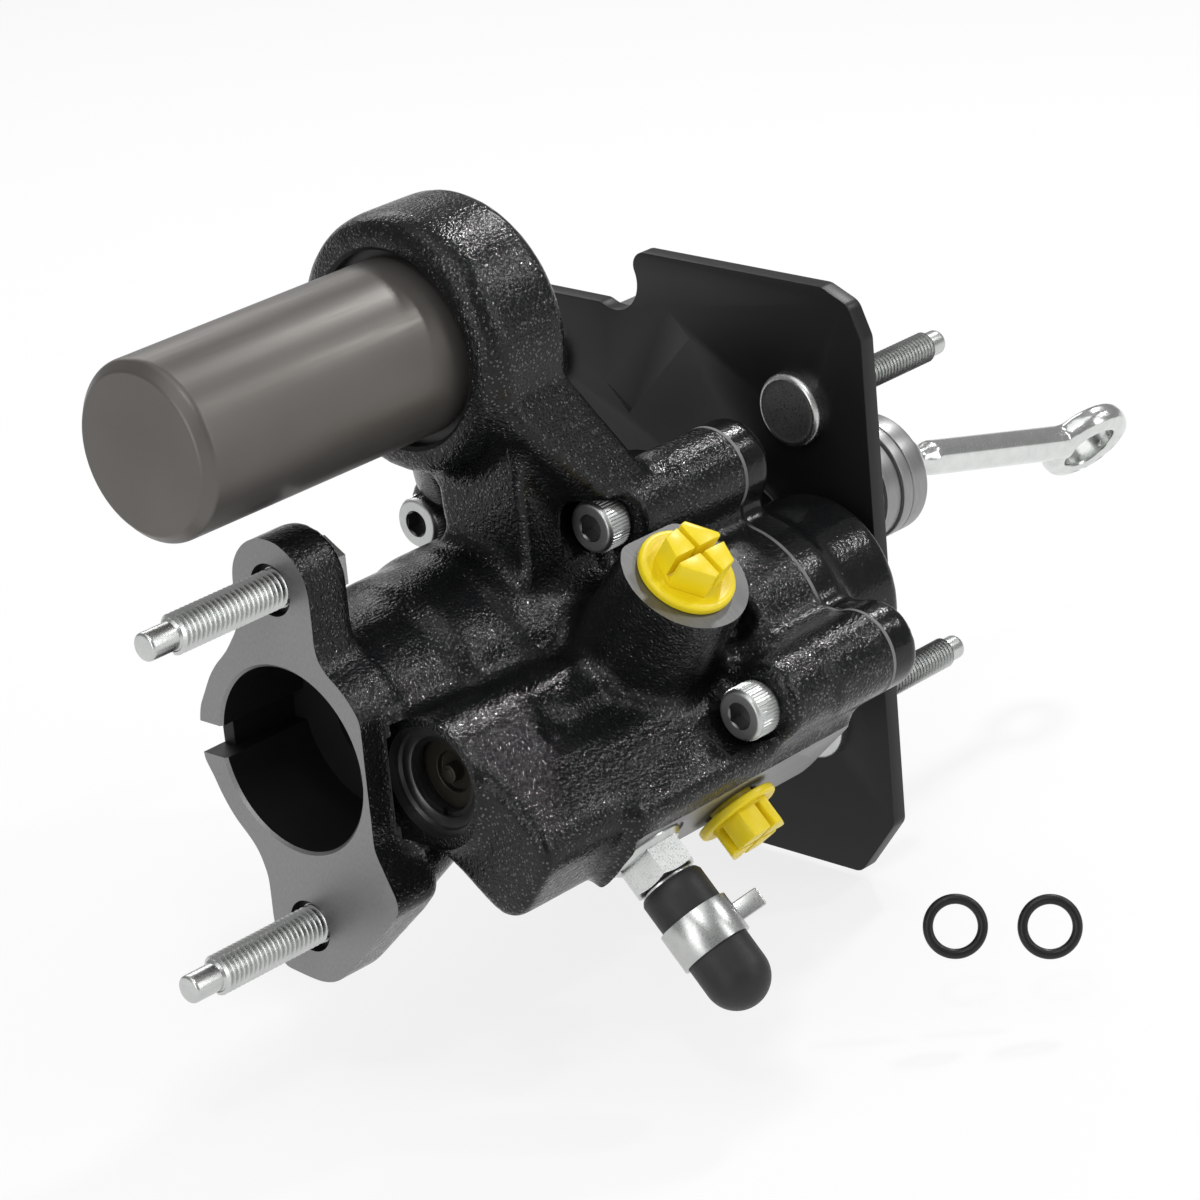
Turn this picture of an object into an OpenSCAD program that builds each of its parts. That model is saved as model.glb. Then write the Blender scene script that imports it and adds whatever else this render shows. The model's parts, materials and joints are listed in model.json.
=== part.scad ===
// Hydraulic brake booster: cast body with accumulator, valve block, inner pistons,
// mounting bracket and pedal rod. Millimetres. X runs from the master cylinder
// flange (x = 0) back to the pedal, -Y is the valve side, +Z is up.

/* [Front flange] */
// distance between the two master cylinder studs
stud_spacing = 85.7; // [84.5:0.1:87.5]
// radius of the pilot bore that takes the master cylinder's spigot
pilot_r = 23.1; // [22:0.1:24]
// depth of the pilot bore
pilot_depth = 27; // [24:0.5:29]
// thickness of the front flange
flange_t = 13.5; // [12:0.5:15]
// radius of the master cylinder studs
stud_r = 4.9; // [4.5:0.1:5.3]
// how far the master cylinder studs stand out of the flange
stud_out = 39.7; // [34:0.5:46]

/* [Accumulator] */
// radius of the accumulator can
can_r = 22; // [20.5:0.1:23]
// length of the can ahead of the ring that holds it
can_out = 80.5; // [70:0.5:95]
// height of the can's axis over the main axis
can_z = 83.2; // [81:0.1:85]
// length of the holding ring along X
ring_len = 28; // [26:0.5:30]

/* [Power piston] */
// radius of the power piston's bore
piston_bore_r = 19; // [18:0.1:20]
// stroke of the power piston
stroke = 26; // [20:0.5:28]
// wire radius of the return spring
wire_r = 1.2; // [0.9:0.1:1.4]

/* [Valve block] */
// sideways distance from the main axis to the valve axis
valve_off = 33.6; // [33:0.1:34.6]
// radius of the spool
spool_r = 7.5; // [6.5:0.1:8]
// distance from the valve axis to the face of the upper port boss
upper_port_d = 42; // [40:0.5:45]
// distance from the valve axis to the machined lower facet
facet_d = 38; // [36.5:0.25:39]
// tilt of the valve block about X, in degrees
block_tilt = 36; // [34:0.5:38]

/* [Rear cover and bracket] */
// radius of the cover's end over the spool
cover_r = 24; // [22:0.25:25]
// thickness of the bracket plate
plate_t = 4.75; // [3:0.25:5]
// distance between the bracket studs along Y
brk_span_y = 86.7; // [80:0.1:90]
// distance between the bracket studs along Z
brk_span_z = 85; // [80:0.1:90]
// how far the bracket studs stand out behind the plate
brk_stud_out = 52.5; // [45:0.5:60]

/* [Pedal rod] */
// length of the pedal rod from its ball to the middle of its eye
rod_len = 82; // [76:0.5:90]
// radius of the pedal rod
rod_r = 4.75; // [4:0.05:5.5]
// radius of the hole in the pedal rod's eye
eye_hole_r = 7.8; // [7:0.1:9]
// droop of the pedal rod at rest, in degrees
rod_droop = 14; // [5:1:16]

/* [Hidden] */
$fn = 64;
part_x = 124;
gasket_t = 1;
run = 0.05;
seat = 0.02;
// longer than anything it cuts
beyond = 300;
valve_z = -2.5;
valve_y = -valve_off;

// flange outline
ear_z = stud_spacing / 2;
ear_r = 12.6;
rim_r = 29.5;
rim_cut = 25.1;
hub_r = pilot_r + 5.4;
ear_fillet = 7;
slot_w = 9.5;
slot_open_x = 7;
slot_r = pilot_r + 4.2;
stud_head_r = 8.2;
stud_head_t = 6;
stud_shank_r = stud_r + 0.2;
stud_hole_r = stud_shank_r + run;
stud_recess = 3;
stud_recess_r = stud_r + 1.6;
dog_r = stud_r * 0.72;
dog_len = 8;

// main barrel
seat_wall_x = pilot_depth + 9;
rod_hole_r = 12;
neck_out_r = piston_bore_r + 12.4;
barrel_r = piston_bore_r + 13.6;
shoulder_x = 33;
ridge_x = 54;
rear_flange_x = 90;
chamber_r = piston_bore_r + 1;

// screws: seats, sizes and places round the parting face
screw_r = 4;
screw_head_r = 6.7;
screw_head_t = 8;
screw_hole_r = screw_r + 0.3;
screw_seat_x = 88;
screw_grip = 12;
socket_af = 6;
boss_r = 11.2;
rib_in = 1.6;
screw_top_left = [33.5, 25.4];
screw_top_right = [-26, 35.8];
screw_side = [-69, -3.3];
screw_low_left = [32.5, -28];
screw_low_right = [-27, -40.5];
screw_places = [
    screw_top_left, screw_top_right, screw_side, screw_low_left, screw_low_right
];

// accumulator
can_y = 8;
ring_wall = 8.2;
ring_bore_r = can_r + 2.2;
ring_r = ring_bore_r + ring_wall;
ring_x0 = 54;
ring_lip = 5;
web_x0 = ring_x0 + 8;
clip_x = ring_x0 + 3;
clip_t = 1.8;
can_seat_x = ring_x0 + 7.5;
can_end_x = ring_x0 + 20;
can_x0 = ring_x0 - can_out;
can_wall = 3;
can_chamfer = 2.2;
acc_piston_r = can_r - can_wall - run;
acc_piston_len = 15;

// valve block
block_x0 = 12.8;
block_x1 = 118;
block_r = 15;
block_half = 14.2;
nose_d = 36.6;
nose_r = 8;
facet_x0 = 41;
facet_tilt = 135;
port_x = 77;
lower_port_x = 84;
return_x = 53;
port_boss_r = 16.1;
port_r = 6.2;
port_depth = 13;
drill_r = 2.2;
pad_x1 = 35;
valley_y = 13;
valley_top = 4;
valley_fall = 17;
shelf_x0 = 46;
shelf_y = 6.5;
shelf_rise = 1.2;
counter_r = 13.8;
boss_proud = 0.6;
counter_t = 1.5;
plug_r = 10;
plug_x = 19.5;
plug_end_x = 31;
snap_x = 16.4;
snap_t = 1.5;
spool_bore_x = 32;
spool_end_x = 84;
spool_x0 = 42;
tail_r = 3;
tail_x = part_x + 12;
sleeve_r = spool_r + 1;
sleeve_bore_r = sleeve_r + 1.5;
sleeve_x = 117;
sleeve_len = 10;
groove_x = sleeve_x + 2.4;
groove_w = 5.2;
groove_r = tail_r + 1.6;

// lever between the power piston, the input plunger and the sleeve
lever_x = sleeve_x + 5;
lever_z = -1.25;
lever_t = 5;
lever_r = 4.2;
pin_r = 2;
pivot_y = 13;
nose_tip_r = groove_w / 2 - 0.2;
nose_y = valve_y + groove_r + nose_tip_r + 0.3;
lever_gap = 0.15;

// power piston and what it carries
piston_x0 = seat_wall_x + stroke + 2;
piston_x1 = 112;
piston_r = piston_bore_r - run;
pocket_r = piston_bore_r - 3.5;
pocket_x = 80;
plunger_r = 8;
plunger_x0 = 102;
plunger_x1 = 214;
plunger_hole_x = 100;
seal_x = 82;
seal_w = 4;
seal_depth = 3;
out_rod_r = 6.5;
out_rod_x = pilot_depth + 1.5;
spring_r = pocket_r - wire_r - 0.7;

// rear cover, snout and bracket
cover_x0 = part_x + gasket_t;
cover_flange_t = 9;
cover_end_x = 155.4;
plate_x = 160;
snout_r = 20;
thread_r = 17;
nut_t = 9;
nut_r = 23;
nut_seat_r = nut_r + 1.5;
nut_sink = 0.4;
neck_r = 15.5;
snout_x1 = 208;
snout_groove_x = 200;
ring_end_x = 218;
end_ring_r = 16.3;
seal_pocket_r = 11;
seal_pocket_x = 196;
seal_len = 7;
mouth_x = 210;
mouth_r = 10.8;
plate_y = 20.4;
plate_z = -2.3;
plate_top = 73.6;
plate_low = -85;
plate_right = -46;
plate_left = 2 * plate_y - plate_right;
notch_y = 30;
step_z = 58;
brk_stud_r = 4;
brk_shank_r = brk_stud_r + 0.3;
brk_head_r = 9.6;
brk_head_t = 3.2;
brk_dog_r = 3.2;
brk_dog_len = 5;
plate_corner = 12;
notch_r = 8.6;
// shallow stamped crease on the plate's front face
crease_from = [11, 52.8];
crease_to = [34, 29];
crease = crease_to - crease_from;
crease_w = 10;
crease_deep = 0.9;

// pedal rod
ball_x = 226;
ball_r = 4.6;
socket_r = 5.6;
collar_r = 6.6;
collar_x0 = 218.6;
collar_len = 10.5;
eye_r = eye_hole_r + 5.6;
eye_t = 7.5;
eye_bevel = 1.2;
eye_turn = -41;

// ports, caps and the return fitting
cap_disc_r = 12.2;
lower_disc_r = 10.7;
lower_cap_gap = 1.5;
cap_disc_t = 2.5;
cap_hex_af = 15;
cap_hex_t = 7;
cap_slot = 1.4;
cap_stem = 6;
collar_d = 9.6;
collar_t = 2.5;
hex_af = 15.5;
hex_t = 10;
barb_r = 5;
barb_len = 20;
hose_cap_r = 8.2;
hose_cap_len = 35.3;
clamp_from = 9.7;
clamp_w = 10;
clamp_t = 0.9;

// loose seals that lie beside the part
oring_r = 6.6;
oring_wire = 1.25;
oring_gap = 22.7;
oring_at = [120.2, -112, -63.6];
oring_turn = [0, 5.1, -47.7];
oring_tilt = 68;

// places a profile drawn in (y, z) so that it is extruded along +X from x0
module on_x(x0) translate([x0, 0, 0]) rotate([90, 0, 90]) children();

module bar_x(x0, x1, r) on_x(x0) cylinder(r = r, h = x1 - x0);

module cone_x(x0, x1, r0, r1) on_x(x0) cylinder(r1 = r0, r2 = r1, h = x1 - x0);

module at_valve() translate([0, valve_y, valve_z]) children();

module at_can() translate([0, can_y, can_z]) children();

// frame of the valve block: Z leaves the upper flank, -Y runs along the block's arm
module block_frame() at_valve() rotate([block_tilt, 0, 0]) children();

// frame of the machined lower facet: Z is its outward normal
module facet_frame(x) translate([x, valve_y, valve_z]) rotate([facet_tilt, 0, 0]) children();

module upper_port_frame() translate([port_x, 0, 0]) block_frame() children();

module ring_2d(outer, inner) difference() {
    circle(r = outer);
    circle(r = inner);
}

module tube_x(x0, x1, outer, inner) on_x(x0) linear_extrude(x1 - x0) ring_2d(outer, inner);

// a round bar along X whose two ends are chamfered by c0 and c1
module chamfered_x(x0, x1, r, c0, c1) on_x(x0) rotate_extrude() polygon([
    [0, 0], [r - c0, 0], [r, c0], [r, x1 - x0 - c1], [r - c1, x1 - x0], [0, x1 - x0]
]);

// a hexagon by its width across flats
module hex_2d(af) circle(r = af / sqrt(3), $fn = 6);

// round wire wound along X
module coil_x(x0, x1, r, w, turns) {
    per = 16;
    sides = 8;
    steps = turns * per;
    rise = x1 - x0 - 2 * w;
    points = [for (i = [0:steps]) for (j = [0:sides - 1])
        let (a = 360 * i / per, b = 360 * j / sides, d = r + w * cos(b))
        [x0 + w + rise * i / steps + w * sin(b), d * cos(a), d * sin(a)]];
    sidefaces = [for (i = [0:steps - 1]) for (j = [0:sides - 1])
        let (k = (j + 1) % sides)
        [i * sides + j, (i + 1) * sides + j, (i + 1) * sides + k, i * sides + k]];
    first = [for (j = [0:sides - 1]) j];
    last = [for (j = [sides - 1:-1:0]) steps * sides + j];
    polyhedron(points, concat([first], sidefaces, [last]), convexity = 8);
}

/* front flange */

module ear_2d(side, r) {
    translate([0, side * ear_z]) circle(r = r);
    translate([-r, side > 0 ? 0 : -ear_z]) square([2 * r, ear_z]);
}

module flange_2d() {
    offset(r = -ear_fillet) offset(delta = ear_fillet) union() {
        intersection() {
            circle(r = rim_r);
            translate([-rim_cut, -rim_r * 2]) square([rim_r * 4, rim_r * 4]);
        }
        ear_2d(1, ear_r);
        ear_2d(-1, ear_r);
    }
    // web that ties the lower ear back to the valve side
    hull() {
        translate([-1, -ear_z - 0.8]) circle(r = ear_r + 0.8);
        translate([8, -ear_z - 9]) circle(r = 4.5);
        translate([-27, -30]) circle(r = 4.2);
        translate([-rim_cut + 4, -18]) circle(r = 4);
    }
}

module lower_web() hull() {
    on_x(2) translate([-27, -30]) cylinder(r = 4.2, h = 4, $fn = 32);
    on_x(2) translate([-5, -ear_z - 3]) cylinder(r = 8.5, h = 4, $fn = 32);
    on_x(2) translate([-10, -20]) cylinder(r = 8, h = 4, $fn = 32);
    on_x(44) translate([-12, -22]) cylinder(r = 8, h = 4, $fn = 32);
}

/* casting */

// round boss under each screw head, with a rib of the same width back to the barrel
module screw_bosses() for (p = screw_places) on_x(screw_seat_x) {
    translate(p) cylinder(r = boss_r - 0.6, h = part_x - screw_seat_x - 3);
    rotate([0, 0, atan2(p[1], p[0])]) translate([norm(p) - 16, rib_in + 0.6 - boss_r, 0])
        cube([16, 2 * (boss_r - rib_in - 0.6), part_x - screw_seat_x - 5]);
}

module rear_lobes_2d() {
    circle(r = barrel_r + 1);
    translate([valve_y, valve_z]) circle(r = cover_r + 2);
    for (p = screw_places) {
        translate(p) circle(r = boss_r);
        rotate(atan2(p[1], p[0])) translate([norm(p) - 18, rib_in - boss_r])
            square([18, 2 * (boss_r - rib_in)]);
    }
}

// section of the valve block: round over the spool, with an arm that ends d from its axis
module block_2d(d, r) hull() {
    circle(r = block_r);
    for (s = [-1, 1]) translate([-d + r, s * (block_half - r)]) circle(r = r);
}

// valley along the upper flank behind the front pad; its floor falls towards the barrel
module flank_valley() translate([0, -valley_y, block_half]) rotate([-valley_fall, 0, 0])
    translate([0, valley_y, 0]) linear_extrude(block_half) polygon([
        [pad_x1, valley_top], [pad_x1, -valley_y], [port_x - 1, -valley_y],
        [port_x - 1, -shelf_y], [shelf_x0, -shelf_y]
    ]);

// three-cornered shelf between the valley and the foot of the port boss
module flank_shelf() linear_extrude(block_half + shelf_rise) polygon([
    [shelf_x0 - 1, -shelf_y - 1], [pad_x1 + 2, valley_top - 1], [shelf_x0 + 13, valley_top + 1],
    [port_x - 3, -shelf_y - 1]
]);

module valve_block() {
    block_frame() difference() {
        union() {
            on_x(block_x0) linear_extrude(facet_x0 - block_x0) block_2d(nose_d, nose_r);
            on_x(facet_x0) linear_extrude(block_x1 - facet_x0) block_2d(facet_d + 1.2, 4);
            flank_shelf();
        }
        flank_valley();
    }
    // boss of the front bore
    at_valve() cone_x(block_x0 - boss_proud, block_x0 + 30, counter_r + 2.2, counter_r + 1);
    // boss of the upper port, with a flat on the side of the next screw
    upper_port_frame() difference() {
        cylinder(r1 = port_boss_r + 1.5, r2 = port_boss_r, h = upper_port_d);
        translate([-40, port_boss_r - 2.6, block_r + 6]) cube([80, 20, 40]);
    }
}

module ring_body() at_can() {
    on_x(ring_x0) rotate_extrude() polygon([
        [0, 0], [ring_r - ring_lip, 0], [ring_r - ring_lip * 0.3, ring_lip * 0.3],
        [ring_r, ring_lip], [ring_r, ring_len - ring_lip * 0.6],
        [ring_r - ring_lip * 0.6, ring_len], [0, ring_len]
    ]);
}

module ring_web() {
    hull() {
        on_x(web_x0) translate([-7, can_z - 24]) cylinder(r = 15, h = 14, $fn = 32);
        on_x(web_x0) translate([-9, barrel_r - 10]) cylinder(r = 13, h = 30, $fn = 32);
    }
    hull() {
        on_x(web_x0 - 2) translate([-19, can_z - 14]) cylinder(r = 6, h = 20, $fn = 32);
        on_x(screw_seat_x - 1) translate(screw_top_right) cylinder(r = boss_r - 3, h = 12, $fn = 32);
    }
    hull() {
        on_x(web_x0 + 4) translate([16, can_z - 26]) cylinder(r = 5, h = 14, $fn = 32);
        on_x(screw_seat_x + 2) translate(screw_top_left) cylinder(r = boss_r - 4, h = 20, $fn = 32);
    }
}

module casting_solid() {
    on_x(0) linear_extrude(flange_t) flange_2d();
    bar_x(flange_t - 3, shoulder_x, hub_r);
    cone_x(shoulder_x - 1, shoulder_x + 5, hub_r, neck_out_r);
    bar_x(shoulder_x + 4, ridge_x, neck_out_r);
    cone_x(ridge_x - 2, ridge_x, neck_out_r, barrel_r);
    bar_x(ridge_x, part_x - 4, barrel_r);
    lower_web();
    on_x(rear_flange_x + 14) linear_extrude(part_x - rear_flange_x - 14) rear_lobes_2d();
    screw_bosses();
    valve_block();
    ring_body();
    ring_web();
}

module port_bore(d) translate([0, 0, d]) {
    translate([0, 0, -port_depth]) cylinder(r = port_r, h = port_depth + 1);
    translate([0, 0, -1.2]) cylinder(r1 = port_r, r2 = port_r + 1.4, h = 1.3);
    translate([0, 0, -d + spool_r - 1.5]) cylinder(r = drill_r, h = d - spool_r - port_depth + 2);
}

module housing() color("dimgray") difference() {
    casting_solid();
    // nothing stands ahead of the machined flange face
    translate([-beyond, -beyond / 2, -beyond / 2]) cube(beyond);
    // pilot bore, its lead-in and the slot in its rim
    bar_x(-1, pilot_depth, pilot_r);
    cone_x(-0.01, 1, pilot_r + 1, pilot_r);
    translate([-1, 0, -slot_w / 2]) cube([slot_open_x + 1, rim_r + 12, slot_w]);
    intersection() {
        translate([-1, 0, -slot_w / 2]) cube([pilot_depth + 1, rim_r + 12, slot_w]);
        bar_x(-1, pilot_depth, slot_r);
    }
    // output rod's hole and the power piston's bore
    bar_x(pilot_depth - 1, seat_wall_x + 1, rod_hole_r);
    bar_x(seat_wall_x, part_x + 1, piston_bore_r);
    // master cylinder stud holes
    for (s = [-1, 1]) on_x(-1) translate([0, s * ear_z])
        cylinder(r = stud_hole_r, h = flange_t + 2);
    for (s = [-1, 1]) on_x(-1) translate([0, s * ear_z])
        cylinder(r = stud_recess_r, h = stud_recess + 1);
    for (s = [-1, 1]) on_x(flange_t) translate([0, s * ear_z])
        cylinder(r = stud_head_r + 1, h = stud_head_t + 4);
    // valve bore
    at_valve() {
        bar_x(block_x0 - 2, block_x0 + counter_t, counter_r);
        bar_x(block_x0 - 2, spool_bore_x, plug_r);
        bar_x(snap_x, snap_x + snap_t, plug_r + 0.9);
        bar_x(spool_bore_x - 1, spool_end_x + 4, spool_r);
        bar_x(spool_end_x + 4, part_x + 1, sleeve_bore_r);
    }
    // way for the lever between the two bores
    translate([lever_x - stroke - 9, valve_y, lever_z - lever_t / 2 - 1.2])
        cube([part_x - lever_x + stroke + 10, valve_off, lever_t + 2.4]);
    // accumulator seat
    at_can() {
        bar_x(ring_x0 - 1, can_seat_x, ring_bore_r);
        bar_x(clip_x, clip_x + clip_t, ring_bore_r + 1.4);
        bar_x(can_seat_x - 1, can_end_x + 2, can_r + seat);
        bar_x(can_end_x, can_end_x + 4, can_r - can_wall);
    }
    // ports and their machined faces
    upper_port_frame() port_bore(upper_port_d);
    facet_frame(0) translate([facet_x0, -40, facet_d]) cube([90, 80, 20]);
    facet_frame(lower_port_x) port_bore(facet_d);
    facet_frame(return_x) {
        port_bore(facet_d);
        translate([0, 0, facet_d - 0.6]) cylinder(r = collar_d + 1.6, h = 4);
    }
    // screw holes and the room for their heads
    for (p = screw_places) on_x(screw_seat_x - 1) translate(p) {
        cylinder(r = screw_hole_r, h = part_x - screw_seat_x + 3);
        translate([0, 0, -12]) cylinder(r = screw_head_r + 1.6, h = 13);
    }
}

module cover_outside() {
    on_x(cover_x0) linear_extrude(cover_flange_t) rear_lobes_2d();
    at_valve() chamfered_x(cover_x0 + 1, cover_end_x, cover_r, 0, 1.5);
    cone_x(cover_x0 + cover_flange_t - 1, cover_end_x - 4, barrel_r, snout_r + 2);
    bar_x(cover_x0 + 10, plate_x, snout_r);
    bar_x(plate_x - 1, plate_x + plate_t + nut_t + 3, thread_r);
    chamfered_x(plate_x + plate_t + nut_t, snout_x1, neck_r, 0, 0.8);
}

module rear_cover() color("dimgray") difference() {
    cover_outside();
    // room for the piston's lugs, the lever and the spool's tail
    bar_x(cover_x0 - 1, tail_x, chamber_r);
    at_valve() bar_x(cover_x0 - 1, tail_x + 4, sleeve_bore_r);
    translate([cover_x0 - 1, valve_y, -8]) cube([12, valve_off, 14]);
    // plunger bore and seal pocket
    bar_x(tail_x - 1, snout_x1 + 1, plunger_r + run);
    bar_x(seal_pocket_x, snout_x1 + 1, seal_pocket_r);
    tube_x(snout_groove_x, snout_groove_x + 2, neck_r + 1, neck_r - 1.2);
    for (p = screw_places) on_x(cover_x0 - 1) translate(p)
        cylinder(r = screw_r + seat, h = screw_grip + 2);
}

module cover_gasket() color("darkslategray") on_x(part_x) linear_extrude(gasket_t) difference() {
    rear_lobes_2d();
    circle(r = chamber_r);
    translate([valve_y, valve_z]) circle(r = sleeve_bore_r);
    translate([valve_y, -8]) square([valve_off, 14]);
    for (p = screw_places) translate(p) circle(r = screw_hole_r);
}

/* accumulator */

module accumulator_can() color("gray") at_can() difference() {
    chamfered_x(can_x0, can_end_x, can_r, can_chamfer, 1);
    bar_x(can_x0 + can_wall + 1, can_end_x + 1, can_r - can_wall);
    tube_x(can_seat_x + 5, can_seat_x + 7.4, can_r + 1, can_r - 1.6);
    tube_x(clip_x - 0.2, clip_x + clip_t + 0.2, can_r + 1, can_r - 0.8);
}

module accumulator_retainer() color("black") at_can()
    tube_x(clip_x + 0.1, clip_x + clip_t - 0.1, ring_bore_r + 1.2, can_r - 0.6);

module accumulator_oring() color("black") at_can() on_x(can_seat_x + 6.2)
    rotate_extrude() translate([can_r - 0.75, 0]) circle(r = 0.78, $fn = 24);

module accumulator_piston() color("silver") at_can() difference() {
    chamfered_x(can_end_x - 3 - acc_piston_len, can_end_x - 3, acc_piston_r, 1, 1);
    bar_x(can_end_x - acc_piston_len - 4, can_end_x - 8, acc_piston_r - 6);
    tube_x(can_end_x - 11, can_end_x - 8.5, acc_piston_r + 1, acc_piston_r - 1.5);
}

/* fasteners */

module flange_studs() color("silver") for (s = [-1, 1]) translate([0, 0, s * ear_z]) {
    chamfered_x(-stud_out + dog_len, stud_recess + 1, stud_r, 0.8, 0);
    bar_x(stud_recess, flange_t + 1, stud_shank_r);
    chamfered_x(-stud_out, -stud_out + dog_len + 1, dog_r, 1, 0);
    on_x(flange_t) linear_extrude(stud_head_t) hex_2d(stud_head_r * 1.7);
}

module cap_screw() difference() {
    union() {
        chamfered_x(screw_seat_x - screw_head_t, screw_seat_x, screw_head_r, 0.8, 0);
        chamfered_x(screw_seat_x - 1, cover_x0 + screw_grip, screw_r, 0, 0.7);
    }
    on_x(screw_seat_x - screw_head_t - 1) linear_extrude(screw_head_t * 0.5 + 1)
        hex_2d(socket_af);
}

module cover_screws() color("silver") for (p = screw_places)
    translate([0, p[0], p[1]]) cap_screw();

/* ports */

module plastic_cap(d, disc_r) translate([0, 0, d]) difference() {
    union() {
        cylinder(r = disc_r, h = cap_disc_t);
        translate([0, 0, cap_disc_t - 0.5]) linear_extrude(cap_hex_t + 0.5) hex_2d(cap_hex_af);
        translate([0, 0, -cap_stem]) cylinder(r1 = port_r - 0.5, r2 = port_r - 0.2, h = cap_stem + 1);
    }
    for (a = [0, 90]) rotate([0, 0, a]) translate([-20, -cap_slot / 2, cap_disc_t + 0.6])
        cube([40, cap_slot, cap_hex_t + 1]);
}

module pressure_port_cap() color("gold") upper_port_frame()
    plastic_cap(upper_port_d, cap_disc_r);

module lower_port_cap() color("gold") facet_frame(lower_port_x)
    plastic_cap(facet_d + lower_cap_gap, lower_disc_r);

module return_fitting() color("silver") facet_frame(return_x)
    translate([0, 0, facet_d - 0.6]) difference() {
        union() {
            cylinder(r = collar_d, h = collar_t);
            translate([0, 0, collar_t - 0.5]) linear_extrude(hex_t - collar_t + 0.5) hex_2d(hex_af);
            translate([0, 0, -port_depth + 3]) cylinder(r = port_r - 0.2, h = port_depth - 2);
            translate([0, 0, hex_t - 1]) cylinder(r = barb_r, h = barb_len + 1);
        }
        translate([0, 0, -port_depth]) cylinder(r = barb_r - 2, h = port_depth + hex_t + barb_len + 2);
    }

module return_cap() color("black") facet_frame(return_x)
    translate([0, 0, facet_d - 0.6 + hex_t]) difference() {
        union() {
            cylinder(r = hose_cap_r, h = hose_cap_len - hose_cap_r);
            translate([0, 0, hose_cap_len - hose_cap_r]) sphere(r = hose_cap_r);
        }
        translate([0, 0, -1]) cylinder(r = barb_r, h = barb_len + 1);
    }

module return_clamp() color("silver") facet_frame(return_x)
    translate([0, 0, facet_d - 0.6 + hex_t + clamp_from]) difference() {
        union() {
            cylinder(r = hose_cap_r + clamp_t, h = clamp_w);
            rotate([0, 0, 30]) translate([hose_cap_r - 0.5, -4, clamp_w * 0.35])
                cube([9, 1.2, clamp_w * 0.4]);
        }
        translate([0, 0, -1]) cylinder(r = hose_cap_r, h = clamp_w + 2);
    }

/* valve parts */

module valve_plug() color("dimgray") at_valve() difference() {
    union() {
        chamfered_x(plug_x, plug_end_x, plug_r - seat, 0.6, 0.6);
        chamfered_x(plug_x - 2, plug_x + 1, 2.3, 0.4, 0);
    }
    tube_x(plug_x + 5, plug_x + 7.4, plug_r + 1, plug_r - 1.5);
    bar_x(plug_end_x - 4, plug_end_x + 1, spool_r);
}

module valve_plug_ring() color("black") at_valve() difference() {
    tube_x(snap_x + 0.1, snap_x + snap_t - 0.1, plug_r + 0.7, plug_r - 1.3);
    translate([snap_x - 1, -1.5, -plug_r - 2]) cube([snap_t + 2, 3, 5]);
}

module spool_valve() color("silver") at_valve() difference() {
    union() {
        chamfered_x(spool_x0, spool_end_x, spool_r - run, 0.4, 0.4);
        chamfered_x(spool_end_x - 1, tail_x, tail_r, 0, 0.5);
    }
    tube_x(return_x - 4, return_x + 4, spool_r + 1, spool_r - 2);
    tube_x(port_x - 5, port_x + 3, spool_r + 1, spool_r - 2);
    bar_x(spool_x0 - 1, spool_x0 + 5, spool_r - 2.6);
}

module spool_spring() color("silver") at_valve()
    coil_x(plug_end_x - 4, spool_x0 - 0.05, spool_r - 1.2, 0.5, 5);

module valve_sleeve() color("silver") at_valve() difference() {
    chamfered_x(sleeve_x, sleeve_x + sleeve_len, sleeve_r, 0.3, 0.3);
    bar_x(sleeve_x - 1, sleeve_x + sleeve_len + 1, tail_r + run);
    tube_x(groove_x, groove_x + groove_w, sleeve_r + 1, groove_r);
}

module valve_lever() color("slategray") translate([lever_x, 0, lever_z - lever_t / 2])
    linear_extrude(lever_t) difference() {
        union() {
            hull() {
                translate([0, pivot_y]) circle(r = lever_r);
                circle(r = lever_r);
            }
            hull() {
                circle(r = lever_r);
                translate([0, nose_y]) circle(r = nose_tip_r);
            }
        }
        translate([0, pivot_y]) circle(r = pin_r + run);
        circle(r = pin_r + run);
    }

/* power piston and input side */

module piston_lugs() for (s = [-1, 1])
    translate([0, 0, lever_z + s * (lever_t / 2 + lever_gap + 1.75) - 1.75]) linear_extrude(3.5) {
        translate([lever_x, pivot_y]) circle(r = lever_r);
        translate([piston_x1 - 2, pivot_y - lever_r]) square([lever_x - piston_x1 + 2, 2 * lever_r]);
    }

module power_piston() color("silver") difference() {
    union() {
        chamfered_x(piston_x0, piston_x1, piston_r, 0.8, 0.8);
        piston_lugs();
    }
    bar_x(piston_x0 - 1, pocket_x, pocket_r);
    bar_x(plunger_hole_x, piston_x1 + 1, plunger_r + run);
    tube_x(plunger_hole_x, lever_x + 6, plunger_r + 0.01, 0.01);
    tube_x(seal_x, seal_x + seal_w, piston_r + 1, piston_r - seal_depth);
    translate([lever_x, pivot_y, lever_z - 12]) cylinder(r = pin_r, h = 24);
}

module piston_seal() color("black")
    tube_x(seal_x + 0.1, seal_x - 0.1 + seal_w, piston_r + 0.01, piston_r - seal_depth);

module output_rod() color("silver") {
    chamfered_x(out_rod_x, pocket_x, out_rod_r, 1.2, 0);
    bar_x(pocket_x - 3, pocket_x, spring_r - wire_r - 0.4);
}

module spring_seat() color("dimgray") tube_x(seat_wall_x, seat_wall_x + 1.5, piston_bore_r - 0.3,
    rod_hole_r - 1.5);

module return_spring() color("slategray") coil_x(seat_wall_x + 1.5, pocket_x, spring_r, wire_r, 5);

module lever_pin() color("silver") translate([lever_x, pivot_y, lever_z - lever_t / 2 - lever_gap - 3.5])
    cylinder(r = pin_r, h = lever_t + 2 * lever_gap + 7);

module plunger_pin() color("silver") translate([lever_x, 0, lever_z - lever_t / 2 - 3.5])
    cylinder(r = pin_r, h = lever_t + 7);

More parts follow.
